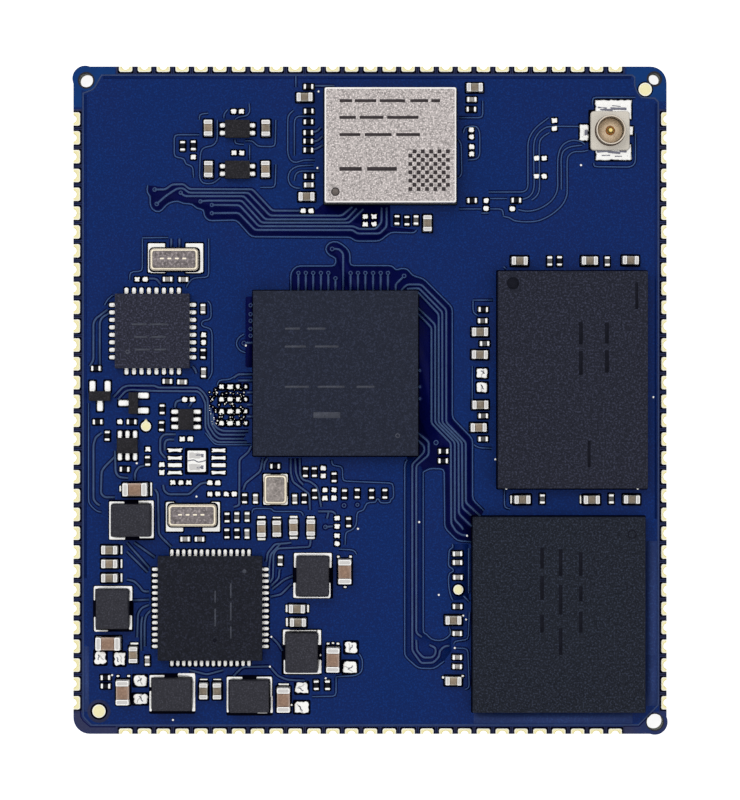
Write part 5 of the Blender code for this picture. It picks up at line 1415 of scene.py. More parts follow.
# Strips of the electrodes and their solder, as left, bottom, right and top edges
ELECTRODES = (
    ((-17.58, -9.4, -17.41, -6.85), (-17.58, -7.0, -16.55, -6.83), (-17.5, -9.4, -16.5, -9.2),
     (-14.76, -9.3, -14.58, -6.78), (-15.6, -6.96, -14.6, -6.76), (-15.55, -9.3, -14.6, -9.14)),
    ((-18.6, -12.72, -16.04, -12.53), (-18.62, -13.5, -18.5, -12.6), (-16.3, -13.52, -16.02, -12.6),
     (-18.6, -15.56, -18.47, -14.6), (-18.55, -15.6, -17.65, -15.48), (-16.25, -15.47, -16.04, -14.5)),
    ((-5.12, -10.5, -2.58, -10.3), (-5.12, -11.3, -4.94, -10.35), (-2.78, -11.3, -2.58, -10.35),
     (-5.17, -13.32, -4.97, -12.3), (-2.81, -13.27, -2.66, -12.3), (-5.05, -13.34, -2.7, -13.22)),
    ((-14.86, -18.7, -13.85, -18.53), (-14.86, -19.35, -14.73, -18.6), (-14.87, -20.97, -14.71, -19.6),
     (-12.95, -18.66, -11.8, -18.4), (-12.0, -20.97, -11.78, -18.5)),
    ((-5.86, -15.62, -5.38, -15.47), (-5.87, -16.5, -5.7, -15.55), (-5.4, -15.58, -3.6, -15.5),
     (-3.56, -16.5, -3.3, -15.48), (-5.82, -18.42, -5.67, -17.5), (-5.8, -18.45, -3.4, -18.34),
     (-3.55, -18.42, -3.27, -17.5)),
    ((-9.65, -18.84, -8.6, -18.64), (-9.66, -21.05, -9.52, -18.7), (-7.65, -18.8, -6.62, -18.64),
     (-6.75, -20.0, -6.6, -18.7), (-6.72, -21.08, -6.55, -19.9), (-7.6, -21.1, -6.9, -21.02)),
)


def make_inductors():
    """The moulded power inductors with a tinned electrode round each end."""
    gaps = bmesh.new()
    for index, strips in enumerate(ELECTRODES, 1):
        node = f"inductor_{index}"
        x, y, half_x, half_y = seat_of(node)[:4]
        place = at(x, y, long_turn(half_x, half_y))
        shape = bmesh.new()
        add_stack(shape, place, 1.34, 1.10, (
            (0.05, (0.02, 0.01), 0.1), (0.5, 0.0, 0.1), (0.98, 0.01, 0.1), (1.06, 0.04, 0.1),
            (1.10, 0.09, 0.08),
        ), 0, steps=3)
        for step, strip in enumerate(strips):
            middle_x, middle_y, wide, long = strip_box(strip)
            rise = 0.1 + 0.004 * (step % 4)
            levels = ((SUNK, 0.0, 0.06), (rise, 0.0, 0.06), (rise + 0.02, 0.02, 0.05))
            add_stack(shape, at(middle_x, middle_y), wide, long, levels, 1, steps=3)
        add_gap(gaps, place, 1.47, 1.27)
        settle(shape, f"power_inductor_{index}", ("ferrite", "terminal"), "ferrite", node)
    settle_gaps(gaps, "inductor_gaps")


# Packages


def add_ball(shape, place, radius, finish):
    """A squat solder ball."""
    angles = [math.radians(angle) for angle in (30, 60, 90, 120, 150)]
    profile = [(radius * math.sin(angle), radius * (0.85 - 0.85 * math.cos(angle))) for angle in angles]
    add_turned(shape, place, profile, finish, steps=8)


def make_grid_packages(looks):
    """The processor, the memory and the flash memory: moulding on a thin laminate with solder balls."""
    gaps = bmesh.new()
    radius, laminate = looks.ball_radius / MM, looks.substrate_height / MM
    floor = 1.7 * radius
    for node, name, finish, pitch in (
        ("processor", "processor_package", "moulding", 0.5),
        ("memory", "memory_package", "memory_moulding", 0.8),
        ("flash_memory", "flash_package", "flash_moulding", 0.5),
    ):
        x, y, half_x, half_y, _, height = seat_of(node)
        shape = bmesh.new()
        place = at(x, y)
        add_stack(shape, place, half_x, half_y, block_levels(floor, floor + laminate, 0.03, 0.01), 1)
        add_stack(shape, place, half_x, half_y, (
            (floor + laminate + 0.001, 0.0, 0.03), (height - 0.06, 0.012, 0.05), (height - 0.018, 0.03, 0.05),
            (height, 0.075, 0.05),
        ))
        columns, rows = int((2 * half_x - 0.8) / pitch), int((2 * half_y - 0.8) / pitch)
        for column in range(columns + 1):
            for row in range(rows + 1):
                if column in (0, columns) or row in (0, rows):
                    spot = at(x + (column - columns / 2) * pitch, y + (row - rows / 2) * pitch)
                    add_ball(shape, spot, radius, 2)
        # A dark band of painted shadow round the package
        add_gap(gaps, place, half_x, half_y, margin=0.09)
        settle(shape, name, (finish, "substrate", "solder"), "moulding", node)
    settle_gaps(gaps, "grid_package_gaps")


def make_leadless_packages():
    """The power controller and the microcontroller, with a row of tinned lands on each side."""
    gaps, lands = bmesh.new(), bmesh.new()
    for node, name, finish, pitch, count, (reach, width) in (
        ("power_controller", "power_package", "power_moulding", 0.4, 14, (0.225, 0.12)),
        ("microcontroller", "controller_package", "controller_moulding", 0.505, 8, (0.22, 0.14)),
    ):
        x, y, half_x, half_y, _, height = seat_of(node)
        shape = bmesh.new()
        place = at(x, y)
        add_stack(shape, place, half_x, half_y, (
            (0.03, 0.0, 0.02), (height - 0.05, 0.01, 0.04), (height - 0.015, 0.025, 0.04),
            (height, 0.06, 0.04),
        ))
        for index in range(count):
            offset = (index - (count - 1) / 2) * pitch
            for turn in (0, 90, 180, 270):
                side = Matrix.Rotation(math.radians(turn), 4, "Z") @ Matrix.Translation((half_x, offset, 0.0))
                spot, centre = place @ side, (reach - 0.02, 0.0)
                add_stack(shape, spot, 0.012, width * 0.9, block_levels(0.03, 0.24, 0.01, 0.005), 1, steps=1)
                add_stack(lands, spot, reach, width, (
                    (SUNK, 0.0, 0.11), (0.04, 0.0, 0.11), (0.07, 0.02, 0.1), (0.085, (0.06, 0.05), 0.06),
                ), 0, centre, steps=3)
                add_gap(gaps, spot, reach, width, centre, 0.075)
        settle(shape, name, (finish, "terminal"), "moulding", node)
    settle(lands, "package_lands", ("solder",), "solder")
    settle_gaps(gaps, "land_gaps")


SHIELD_WALL = 0.15
# Pitch of the pads under the radio, and how far they lie inside its edge
RADIO_PAD_PITCH = 0.66
RADIO_PAD_INSET = 0.35


def make_radio():
    """The radio: its laminate, the chip on it and the drawn shield over both."""
    x, y, half_x, half_y, bottom, top = seat_of("radio_substrate")
    shape = bmesh.new()
    add_stack(shape, at(x, y), half_x, half_y, block_levels(bottom, top, 0.05, 0.02))
    column, row = half_x - RADIO_PAD_INSET, half_y - RADIO_PAD_INSET
    for side in (-1, 1):
        for step in range(-6, 7):
            add_pad(shape, at(x + step * RADIO_PAD_PITCH, y + side * row), 0.18, 0.2, 0.06, 0.03, 1)
        for step in range(-5, 6):
            add_pad(shape, at(x + side * column, y + step * RADIO_PAD_PITCH), 0.2, 0.18, 0.06, 0.03, 1)
    settle(shape, "radio_laminate", ("substrate", "solder"), "laminate", "radio_substrate")
    x, y, half_x, half_y, bottom, top = seat_of("radio_chip")
    shape = bmesh.new()
    add_stack(shape, at(x, y), half_x, half_y, block_levels(bottom, top, 0.05, 0.04))
    settle(shape, "radio_die_package", ("moulding",), "moulding", "radio_chip")
    x, y, half_x, half_y, bottom, top = seat_of("radio_shield")
    top -= 0.008
    shape = bmesh.new()
    rings = []
    for level, inset, corner in (
        (bottom, 0.0, 0.12), (top - 0.14, 0.0, 0.12), (top - 0.06, 0.012, 0.12), (top - 0.015, 0.05, 0.11),
        (top, 0.11, 0.1), (top - SHIELD_WALL, SHIELD_WALL, 0.12), (bottom, SHIELD_WALL, 0.12),
    ):
        outline = rounded(half_x - inset, half_y - inset, corner, 4)
        rings.append([at(x, y) @ Vector((point_x, point_y, level)) for point_x, point_y in outline])
    cover = loft(shape, rings[:5])
    lining = loft(shape, [rings[6], rings[5]])
    # The shield's rounded bend takes a painted highlight
    for face in cover[len(rings[0]) * 2:-2]:
        face.material_index = 1
    bmesh.ops.delete(shape, geom=[cover[-2], lining[-2]], context="FACES_ONLY")
    bmesh.ops.reverse_faces(shape, faces=[face for face in lining if face.is_valid])
    join_rims(shape, bottom + TOP)
    settle(shape, "radio_can", ("shield", "shield_edge"), "shield", "radio_shield")
    # A dark band of painted shadow round the shield
    gap = bmesh.new()
    add_gap(gap, at(x, y), half_x, half_y, margin=0.11)
    settle_gaps(gap, "radio_gap")


def join_rims(shape, level):
    """Closes the foot of the shield between its outer and inner skins."""
    rims = [line for line in shape.edges if line.is_boundary and abs(line.verts[0].co.z - level) < 0.001]
    bmesh.ops.bridge_loops(shape, edges=rims)


# The upper bevel of a lid and its two ends, the last faces of its stack
LID_TOP_FACES = 22
# Where the solder shows round the crystals, as left, bottom, right and top edges
CRYSTAL_SOLDER = (
    (-14.97, 10.1, -13.82, 10.58), (-14.97, 8.62, -14.7, 10.3), (-14.8, 8.57, -13.8, 8.8),
    (-12.43, 10.1, -11.25, 10.58), (-11.5, 8.62, -11.25, 10.3), (-12.43, 8.57, -11.4, 8.8),
    (-13.77, -8.86, -12.6, -8.36), (-13.77, -8.7, -13.5, -6.88), (-13.7, -7.1, -13.2, -6.86),
    (-11.3, -8.86, -10.12, -8.36), (-10.38, -8.7, -10.12, -6.88), (-10.7, -7.1, -10.16, -6.86),
)


def make_crystals():
    """Crystals and the oscillator: a gilt ceramic tub with a seam-welded lid, and their solder."""
    pads, gaps = bmesh.new(), bmesh.new()
    for family in ("crystal_1", "crystal_2", "oscillator"):
        x, y, half_x, half_y, _, top = seat_of(f"{family}_base")
        place = at(x, y)
        shape = bmesh.new()
        add_stack(shape, place, half_x, half_y, (
            (0.03, 0.0, 0.27), (top - 0.06, 0.0, 0.27), (top - 0.02, 0.02, 0.25), (top, 0.06, 0.22),
        ), 0, steps=5)
        outline = rounded(half_x - 0.06, half_y - 0.06, 0.2, 5)
        seam = [(x + point_x, y + point_y) for point_x, point_y in outline]
        add_ribbon(shape, seam, 0.03, TOP + top - 0.024, TOP + top + 0.002, 1, closed=True)
        settle(shape, f"{family}_tub", ("crystal_rim", "rim_seam"), "rim_metal", f"{family}_base")
        x, y, lid_x, lid_y, floor, top = seat_of(f"{family}_lid")
        shape = bmesh.new()
        faces = add_stack(shape, place, lid_x, lid_y, (
            (floor - 0.03, -0.04, 0.16), (floor + 0.02, -0.03, 0.15), (top - 0.03, -0.02, 0.14),
            (top, 0.01, 0.12),
        ), 1, steps=4)
        for face in faces[-LID_TOP_FACES:]:
            face.material_index = 0
        if family == "oscillator":
            lid_finish = "oscillator_lid"
            for side_x, side_y in ((-1, -1), (1, -1), (1, 1), (-1, 1)):
                corner = (side_x * (half_x - 0.22), side_y * (half_y - 0.26))
                add_pad(pads, place, 0.26, 0.3, 0.03, 0.08, 0, corner)
            # A dark band of painted shadow round the oscillator
            add_gap(gaps, place, half_x + 0.04, half_y + 0.04)
        else:
            lid_finish = "crystal_lid"
            # A dark band of painted shadow round the crystal, and a raised dark ring of it over the solder
            # beside it
            add_gap(gaps, place, half_x, half_y)
            add_stack(gaps, place, half_x + 0.1, half_y + 0.1, plate_levels(SUNK, 0.055, 0.3), 0, steps=4)
            for mark_x in (-0.8, -0.3, 0.2, 0.7):
                levels = block_levels(top - 0.01, top + 0.002, 0.02, 0.001)
                add_stack(shape, at(x + mark_x, y + 0.05), 0.13, 0.05, levels, 1)
        settle(shape, f"{family}_cover", (lid_finish, "crystal_rim"), "lid_metal", f"{family}_lid")
    # The dark gaps round the crystals' solder are painted shadow
    for index, strip in enumerate(CRYSTAL_SOLDER):
        x, y, half_x, half_y = strip_box(strip)
        add_gap(gaps, at(x, y), half_x, half_y)
        add_pad(pads, at(x, y), half_x, half_y, 0.04 + 0.003 * (index % 3), 0.05)
    settle(pads, "crystal_solder", ("solder",), "solder")
    settle_gaps(gaps, "crystal_gaps")


# Feet of the jack, as left, bottom, right and top edges, and the rough bands on them in painted shade
JACK_FEET = (
    (15.2, 19.2, 17.62, 20.24), (17.3, 18.95, 17.62, 20.1), (15.22, 16.18, 17.6, 17.1),
    (17.3, 16.3, 17.6, 17.25), (17.3, 17.88, 17.74, 18.46),
)
JACK_ROUGH = (
    (15.5, 19.5, 16.4, 19.66), (16.2, 19.56, 17.3, 19.74), (15.35, 19.66, 16.0, 19.76),
    (16.3, 19.8, 16.9, 19.86), (15.3, 16.7, 16.1, 16.86), (16.0, 16.62, 16.9, 16.8),
    (16.8, 16.68, 17.3, 16.84), (15.6, 16.46, 16.2, 16.54), (16.5, 16.4, 17.0, 16.48),
)


# The tail that carries the pin, and the gaps round it and under the jack
JACK_TAIL = (14.43, 18.04)
JACK_GAPS = ((14.13, 17.48, 14.75, 18.6), (14.82, 16.95, 17.4, 19.5))


def make_jack():
    """The coaxial jack: insulator, plated ring with its feet, and the centre pin."""
    x, y, half_x, half_y, _, top = seat_of("jack_base")
    place = at(x, y)
    shape = bmesh.new()
    levels = ((0.05, 0.0, 0.22), (top - 0.12, 0.0, 0.22), (top - 0.05, 0.02, 0.22), (top, 0.07, 0.22))
    add_stack(shape, place, half_x, half_y, levels, 0, steps=4)
    add_turned(shape, place, ((0.84, 0.3), (0.84, top + 0.03), (0.8, top + 0.05)), 1, steps=32)
    # A dark ring of painted shadow round the foot of the jack's shell
    add_ring(shape, place, 1.04, 0.97, top - 0.01, top + 0.006, 2, steps=40)
    settle(shape, "jack_insulator", ("jack_plastic", "jack_floor", "rim_seam"), "jack_plastic", "jack_base")
    shape = bmesh.new()
    *_, top = seat_of("jack_shell")
    add_turned(shape, place, (
        (0.96, 0.3), (0.96, top - 0.42), (0.92, top - 0.36), (0.92, top - 0.26), (0.98, top - 0.2),
        (1.0, top - 0.12), (1.0, top - 0.06), (0.96, top), (0.92, top), (0.87, top - 0.08),
        (0.86, top - 0.3), (0.85, 0.3),
    ), 0, steps=48, closed=True)
    draw = random.Random(JACK_SEED)
    for strip in JACK_FEET:
        foot_x, foot_y, wide, long = strip_box(strip)
        add_blob(shape, at(foot_x, foot_y), wide, long, 0.12, draw, 0.02, 1, (0.1, 0.25))
    for strip in JACK_ROUGH:
        spot_x, spot_y, wide, long = strip_box(strip)
        spot = at(spot_x, spot_y, draw.uniform(-6, 6), TOP + 0.1)
        add_blob(shape, spot, wide, long, 0.035, draw, 0.1, 2)
    settle(shape, "jack_ring", ("jack_shell", "solder", "rippled_solder"), "solder", "jack_shell")
    shape = bmesh.new()
    *_, top = seat_of("jack_contact")
    add_turned(shape, place, (
        (0.24, 0.3), (0.24, 0.5), (0.2, 0.54), (0.17, 0.56), (0.17, top - 0.08), (0.12, top - 0.01),
        (0.04, top),
    ), 0, steps=20)
    add_turned(shape, place, ((0.31, 0.3), (0.31, 0.47), (0.25, 0.5)), 3, steps=20)
    foot = at(*JACK_TAIL)
    add_blob(shape, foot, 0.3, 0.56, 0.09, draw, 0.05, 1, (0.2, 0.3))
    for wide, long, middle in (
        (0.22, 0.06, (0.08, 0.3)), (0.22, 0.06, (0.08, -0.3)), (0.06, 0.3, (-0.1, 0.0)),
    ):
        add_pad(shape, foot, wide, long, 0.13, 0.03, 1, middle)
    # A grey patch of painted shade on the pin's foot
    add_pad(shape, foot, 0.12, 0.2, 0.1, 0.03, 2, (0.14, 0.0))
    finishes = ("jack_contact", "solder", "rippled_solder", "pin_shade")
    settle(shape, "jack_pin", finishes, "plating", "jack_contact")
    gaps = bmesh.new()
    for strip in (*JACK_FEET, *JACK_GAPS):
        gap_x, gap_y, wide, long = strip_box(strip)
        add_gap(gaps, at(gap_x, gap_y), wide, long)
    settle_gaps(gaps, "jack_gaps")


def add_lead(shape, place, middle, side, body_y, size, finishes):
    """A flat lead and the solder under it, on the side of a small package."""
    half_width, length = size
    metal, solder = finishes
    add_stack(shape, place, half_width, length / 2, (
        (SUNK, (-0.025, -0.02), 0.11), (0.04, (-0.025, -0.02), 0.11), (0.07, -0.01, 0.1),
    ), solder, middle)
    add_stack(shape, place, half_width, length / 2, block_levels(0.06, 0.15, 0.1, 0.04), metal, middle)
    neck, levels = (middle[0], side * body_y), block_levels(0.12, 0.26, 0.02, 0.02)
    add_stack(shape, place, half_width * 0.9, 0.05, levels, metal, neck, steps=1)


def make_small_packages():
    """Load switches, transistors and logic gates with their flat leads."""
    gaps = bmesh.new()
    # half sizes and height of the body, half width and length of a lead, each lead's place and side
    kinds = {
        "load_switch": ("switch_package", (0.615, 0.845, 0.55), (0.13, 0.36), (
            (-0.255, -1), (-0.255, 1), (0.255, -1), (0.255, 1),
        )),
        "transistor": ("transistor_package", (0.735, 0.33, 0.5), (0.18, 0.7), (
            (-0.51, 1), (0.51, 1), (0.0, -1),
        )),
        "logic_gate": ("gate_package", (0.71, 0.53, 0.5), (0.125, 0.48), (
            (-0.51, -1), (-0.51, 1), (0.0, -1), (0.0, 1), (0.51, -1), (0.51, 1),
        )),
    }
    turns = {
        "load_switch_1": 90, "load_switch_2": 90, "transistor_1": 0, "transistor_2": -90, "logic_gate_1": 0,
        "logic_gate_2": 90,
    }
    for node, turn in turns.items():
        name, (half_x, half_y, height), lead, leads = kinds[node[:-2]]
        x, y, *_ = seat_of(node)
        place = at(x, y, turn)
        shape = bmesh.new()
        add_stack(shape, place, half_x, half_y, (
            (0.08, 0.04, 0.03), (0.28, 0.0, 0.03), (height - 0.03, 0.015, 0.04), (height, 0.04, 0.04),
        ))
        for offset, side in leads:
            middle = (offset, side * (half_y + lead[1] / 2 - 0.02))
            add_lead(shape, place, middle, side, half_y, lead, (1, 2))
            add_gap(gaps, place, lead[0] + 0.05, lead[1] / 2 + 0.04, middle, 0.08)
        settle(shape, f"{name}_{node[-1]}", ("black_moulding", "terminal", "solder"), "moulding", node)
    settle_gaps(gaps, "small_package_gaps")


# Generic marks

# The check pattern: columns and rows, its first square, and its squares' pitch and half size
CHECK_COUNT = 10
CHECK_CORNER = (2.7, 14.15)
CHECK_PITCH = 0.28
CHECK_HALF = 0.13
# How far a mark reaches into its package
MARK_DEPTH = 0.01
# Rows of bars: y, half width, and each bar's x and half length
SHIELD_BARS = (
    (20.07, 0.1, ((-1.62, 0.42), (-0.3, 0.72), (1.5, 0.85), (3.3, 0.6), (4.4, 0.3))),
    (18.95, 0.1, ((-1.5, 0.55), (0.1, 0.8), (2.2, 1.05))),
    (17.8, 0.1, ((-1.35, 0.7), (0.55, 0.9), (2.55, 0.8))),
    (15.5, 0.13, ((-1.3, 0.75), (0.8, 1.0))),
)
PROCESSOR_BARS = (
    (4.8, 0.07, ((-5.2, 0.5), (-3.6, 0.6))), (3.6, 0.07, ((-5.0, 0.7), (-2.9, 0.8))),
    (0.9, 0.07, ((-4.9, 0.8), (-2.6, 0.9), (-0.3, 0.6))), (-1.0, 0.2, ((-2.9, 0.9),)),
)
CONTROLLER_BARS = (
    (5.1, 0.06, ((-15.5, 0.5), (-14.2, 0.6))), (4.25, 0.06, ((-15.4, 0.45), (-14.2, 0.5))),
    (3.4, 0.06, ((-15.3, 0.5), (-14.1, 0.4))),
)
# Columns of bars: x, half width, and each bar's y and half length
POWER_BARS = (
    (-9.35, 0.05, ((-12.8, 0.5), (-14.2, 0.6), (-15.6, 0.4))), (-10.4, 0.05, ((-13.2, 0.4), (-14.6, 0.6))),
)
MEMORY_BARS = (
    (14.15, 0.13, ((4.5, 0.75), (2.5, 0.8))), (15.9, 0.13, ((4.5, 0.7), (2.6, 0.75))),
    (14.7, 0.1, ((-3.6, 0.9),)), (17.9, 0.1, ((7.0, 0.9),)),
)
FLASH_BARS = (
    (11.55, 0.12, ((-10.6, 0.7), (-12.6, 0.8), (-15.0, 0.6))),
    (12.8, 0.12, ((-10.9, 0.9), (-13.4, 1.0), (-16.2, 0.9))),
    (14.15, 0.12, ((-11.0, 0.8), (-13.0, 0.5), (-14.9, 0.7))),
)


def make_marks():
    """Pin dots, short bars and a plain check pattern where such packages are marked."""
    nodes = ("processor", "memory", "flash_memory", "power_controller", "microcontroller", "radio_shield")
    tops = {node: TOP + seat_of(node)[5] + (-0.005 if node == "radio_shield" else 0.002) for node in nodes}
    shape = bmesh.new()
    for node, lines, upright, finish in (
        ("radio_shield", SHIELD_BARS, False, 0), ("processor", PROCESSOR_BARS, False, 1),
        ("memory", MEMORY_BARS, True, 2), ("flash_memory", FLASH_BARS, True, 2),
        ("microcontroller", CONTROLLER_BARS, False, 1), ("power_controller", POWER_BARS, True, 1),
    ):
        for across, half_width, bars in lines:
            for along, half_length in bars:
                x, y = (across, along) if upright else (along, across)
                half_x, half_y = (half_width, half_length) if upright else (half_length, half_width)
                place = at(x, y, height=tops[node])
                add_stack(shape, place, half_x, half_y, plate_levels(-MARK_DEPTH, 0.0, 0.03), finish)
    for column in range(CHECK_COUNT):
        for row in range(CHECK_COUNT):
            if (column + row) % 2 == 0:
                x, y = CHECK_CORNER[0] + column * CHECK_PITCH, CHECK_CORNER[1] + row * CHECK_PITCH
                place = at(x, y, height=tops["radio_shield"])
                add_stack(shape, place, CHECK_HALF, CHECK_HALF, plate_levels(-MARK_DEPTH, 0.0, 0.02), steps=1)
    for node, x, y, radius, finish in (
        ("radio_shield", -2.32, 13.97, 0.23, 3), ("memory", 9.6, 7.85, 0.42, 2),
        ("power_controller", -8.44, -11.5, 0.14, 1), ("power_controller", -10.44, -16.14, 0.14, 2),
    ):
        add_disc(shape, at(x, y, height=tops[node]), radius, -MARK_DEPTH, 0.0, finish)
    for node, x, y, radius, finish in (
        ("radio_shield", -2.32, 13.97, 0.29, 0), ("processor", 1.85, -2.38, 0.16, 1),
        ("flash_memory", 17.6, -9.0, 0.3, 2), ("microcontroller", -16.3, 3.25, 0.15, 1),
    ):
        add_ring(shape, at(x, y, height=tops[node]), radius, radius - 0.07, -MARK_DEPTH, 0.0, finish)
    settle(shape, "generic_marks", ("shield_mark", "package_mark", "dull_mark", "pin_mark"), "moulding")


# The stage


def aim(item, target):
    """Points a lamp at a place."""
    item.rotation_euler = (Vector(target) - item.location).to_track_quat("-Z", "Y").to_euler()


def add_lamp(name, place, size, power):
    """A soft square lamp that lights the module. Its caller keeps it out of the metal's reflections."""
    light = bpy.data.lights.new(name, "AREA")
    light.shape = "SQUARE"
    light.size = size
    light.energy = power
    lamp = bpy.data.objects.new(name, light)
    lamp.location = place
    bpy.context.scene.collection.objects.link(lamp)
    aim(lamp, (0.0, 0.0, 0.0))
    return lamp


def seen_by_eye(tree):
    """Whether a ray comes from the camera, a mirror face or glass."""
    path = add_node(tree, "LightPath").outputs
    total = path["Is Camera Ray"]
    for label in ("Is Glossy Ray", "Is Transmission Ray"):
        total = add_math(tree, "MAXIMUM", total, path[label])
    return total


def make_world(light):
    """White surroundings that show at full strength and light the module at less."""
    world = bpy.data.worlds.new("white_room")
    bpy.context.scene.world = world
    world.use_nodes = True
    tree = world.node_tree
    background = tree.nodes["Background"].inputs
    background["Color"].default_value = (1.0, 1.0, 1.0, 1.0)
    tree.links.new(add_ramp(tree, seen_by_eye(tree), 0.0, 1.0, light, 1.0), background["Strength"])


# How brightly the floor shows to the eye by its own light
FLOOR_GLOW = 0.88


def make_floor(looks):
    """A wide pale floor that keeps the module's shadow."""
    half = looks.floor_size
    mesh = bpy.data.meshes.new("floor")
    corners = [(-half, -half, 0), (half, -half, 0), (half, half, 0), (-half, half, 0)]
    mesh.from_pydata(corners, [], [(0, 1, 2, 3)])
    material = bpy.data.materials.new("pale_floor")
    material.use_nodes = True
    tree = material.node_tree
    shader = tree.nodes["Principled BSDF"].inputs
    for socket, value in (
        ("Base Color", (*looks.floor_colour, 1.0)), ("Roughness", 0.9), ("Specular IOR Level", 0.0),
        ("Emission Color", (1.0, 1.0, 1.0, 1.0)),
    ):
        shader[socket].default_value = value
    glow = add_ramp(tree, seen_by_eye(tree), 0.0, 1.0, 0.0, FLOOR_GLOW)
    tree.links.new(glow, shader["Emission Strength"])
    mesh.materials.append(material)
    floor = bpy.data.objects.new("floor", mesh)
    floor.location = (0.0, 0.0, -0.02 * MM)
    bpy.context.scene.collection.objects.link(floor)


def make_camera(looks):
    """A camera straight above the board, as in the photograph."""
    data = bpy.data.cameras.new("camera")
    data.lens = looks.lens
    data.sensor_width = 36.0
    data.clip_start = 0.005
    data.clip_end = 20.0
    camera = bpy.data.objects.new("camera", data)
    camera.location = (0.0, 0.0135 * MM, TOP * MM + looks.camera_distance)
    bpy.context.scene.collection.objects.link(camera)
    bpy.context.scene.camera = camera


def make_stage(looks):
    """Floor, surroundings, lamps and camera."""
    bpy.context.scene.view_settings.view_transform = "Standard"
    make_world(looks.world_light)
    make_floor(looks)
    key = add_lamp("key_lamp", (-0.16, 0.2, 0.34), 0.24, looks.key_power)
    fill = add_lamp("fill_lamp", (0.22, -0.12, 0.3), 0.3, looks.fill_power)
    for lamp in (key, fill):
        lamp.visible_glossy = False
    make_camera(looks)


# Operators


class MODULE_OT_board(bpy.types.Operator):
    """Builds the board with its edge pads and corner holes"""
    bl_idname = "module.board"
    bl_label = "Board"

    def execute(self, context):
        make_board()
        make_edge_pads(context.scene.module_looks.board)
        make_corner_rims()
        make_corner_masks()
        return {"FINISHED"}


class MODULE_OT_tracks(bpy.types.Operator):
    """Builds the tracks and plane edges that show through the mask"""
    bl_idname = "module.tracks"
    bl_label = "Tracks"

    def execute(self, context):
        make_tracks(context.scene.module_looks.board)
        return {"FINISHED"}


class MODULE_OT_bare_pads(bpy.types.Operator):
    """Builds the pads that carry no part"""
    bl_idname = "module.bare_pads"
    bl_label = "Bare pads"

    def execute(self, context):
        make_bare_pads(random.Random(PAD_SEED))
        return {"FINISHED"}


class MODULE_OT_tiny_parts(bpy.types.Operator):
    """Builds the smallest chip parts"""
    bl_idname = "module.tiny_parts"
    bl_label = "Tiny chip parts"

    def execute(self, context):
        make_tiny_parts(random.Random(TINY_PART_SEED))
        return {"FINISHED"}


class MODULE_OT_capacitors(bpy.types.Operator):
    """Builds the small and large ceramic capacitors"""
    bl_idname = "module.capacitors"
    bl_label = "Capacitors"

    def execute(self, context):
        make_capacitors(random.Random(CAPACITOR_SEED))
        return {"FINISHED"}


class MODULE_OT_inductors(bpy.types.Operator):
    """Builds the power inductors"""
    bl_idname = "module.inductors"
    bl_label = "Inductors"

    def execute(self, context):
        make_inductors()
        return {"FINISHED"}


class MODULE_OT_grid_packages(bpy.types.Operator):
    """Builds the processor and the two memories"""
    bl_idname = "module.grid_packages"
    bl_label = "Ball grid packages"

    def execute(self, context):
        make_grid_packages(context.scene.module_looks.packages)
        return {"FINISHED"}


class MODULE_OT_leadless_packages(bpy.types.Operator):
    """Builds the power controller and the microcontroller"""
    bl_idname = "module.leadless_packages"
    bl_label = "Leadless packages"

    def execute(self, context):
        make_leadless_packages()
        return {"FINISHED"}


class MODULE_OT_small_packages(bpy.types.Operator):
    """Builds the small packages with leads"""
    bl_idname = "module.small_packages"
    bl_label = "Small packages"

    def execute(self, context):
        make_small_packages()
        return {"FINISHED"}


class MODULE_OT_radio(bpy.types.Operator):
    """Builds the shielded radio"""
    bl_idname = "module.radio"
    bl_label = "Radio"

    def execute(self, context):
        make_radio()
        return {"FINISHED"}


class MODULE_OT_crystals(bpy.types.Operator):
    """Builds the crystals and the oscillator"""
    bl_idname = "module.crystals"
    bl_label = "Crystals"

    def execute(self, context):
        make_crystals()
        return {"FINISHED"}


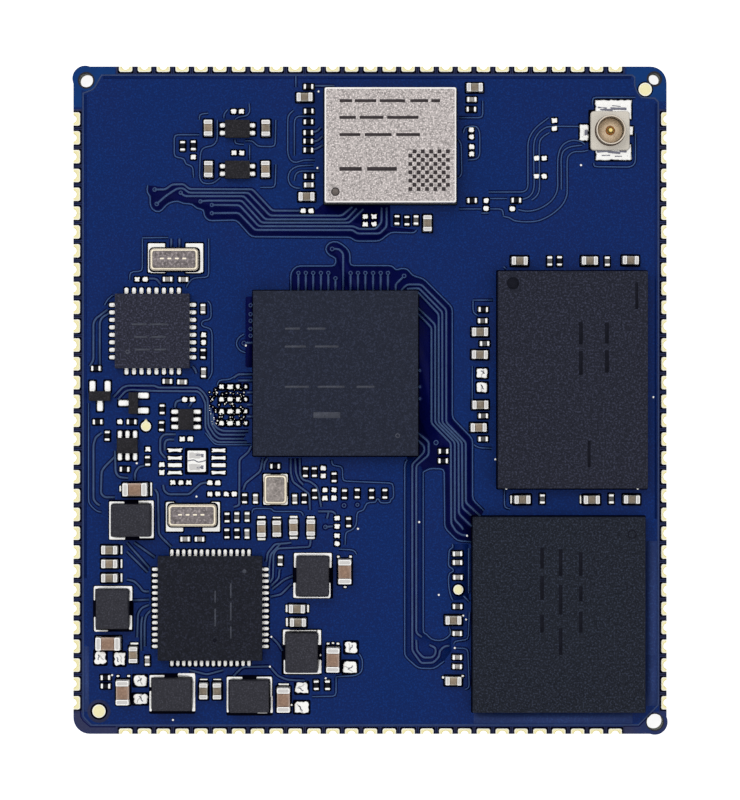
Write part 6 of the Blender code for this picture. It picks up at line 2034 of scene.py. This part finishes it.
class MODULE_OT_jack(bpy.types.Operator):
    """Builds the coaxial jack"""
    bl_idname = "module.jack"
    bl_label = "Jack"

    def execute(self, context):
        make_jack()
        return {"FINISHED"}


class MODULE_OT_marks(bpy.types.Operator):
    """Builds the generic marks on the packages"""
    bl_idname = "module.marks"
    bl_label = "Marks"

    def execute(self, context):
        make_marks()
        return {"FINISHED"}


class MODULE_OT_stage(bpy.types.Operator):
    """Builds the floor, the lamps and the camera"""
    bl_idname = "module.stage"
    bl_label = "Stage"

    def execute(self, context):
        make_stage(context.scene.module_looks.stage)
        return {"FINISHED"}


STEPS = (
    MODULE_OT_board, MODULE_OT_tracks, MODULE_OT_bare_pads, MODULE_OT_tiny_parts, MODULE_OT_capacitors,
    MODULE_OT_inductors, MODULE_OT_grid_packages, MODULE_OT_leadless_packages, MODULE_OT_small_packages,
    MODULE_OT_radio, MODULE_OT_crystals, MODULE_OT_jack, MODULE_OT_marks, MODULE_OT_stage,
)


class MODULE_PT_panel(bpy.types.Panel):
    """Lists the pieces of the module"""
    bl_idname = "MODULE_PT_panel"
    bl_label = "Computer module"
    bl_space_type = "VIEW_3D"
    bl_region_type = "UI"
    bl_category = "Module"

    def draw(self, context):
        looks = context.scene.module_looks
        for family in ("board", "chips", "packages", "metals", "stage"):
            group = getattr(looks, family)
            box = self.layout.box()
            box.label(text=family.capitalize())
            for setting in group.__annotations__:
                box.prop(group, setting)
        for step in STEPS:
            self.layout.operator(step.bl_idname)


CLASSES = (
    BoardSettings, ChipSettings, PackageSettings, MetalSettings, StageSettings, ModuleLooks, *STEPS,
    MODULE_PT_panel,
)


def register():
    for item in CLASSES:
        bpy.utils.register_class(item)
    bpy.types.Scene.module_looks = bpy.props.PointerProperty(
        type=ModuleLooks, name="Module looks", description="Sizes and colours of the module"
    )


def unregister():
    del bpy.types.Scene.module_looks
    for item in reversed(CLASSES):
        bpy.utils.unregister_class(item)


def main():
    """Builds every piece in turn."""
    register()
    for step in STEPS:
        getattr(bpy.ops.module, step.bl_idname.split(".")[1])()
    bpy.context.view_layer.update()


if __name__ == "__main__":
    main()
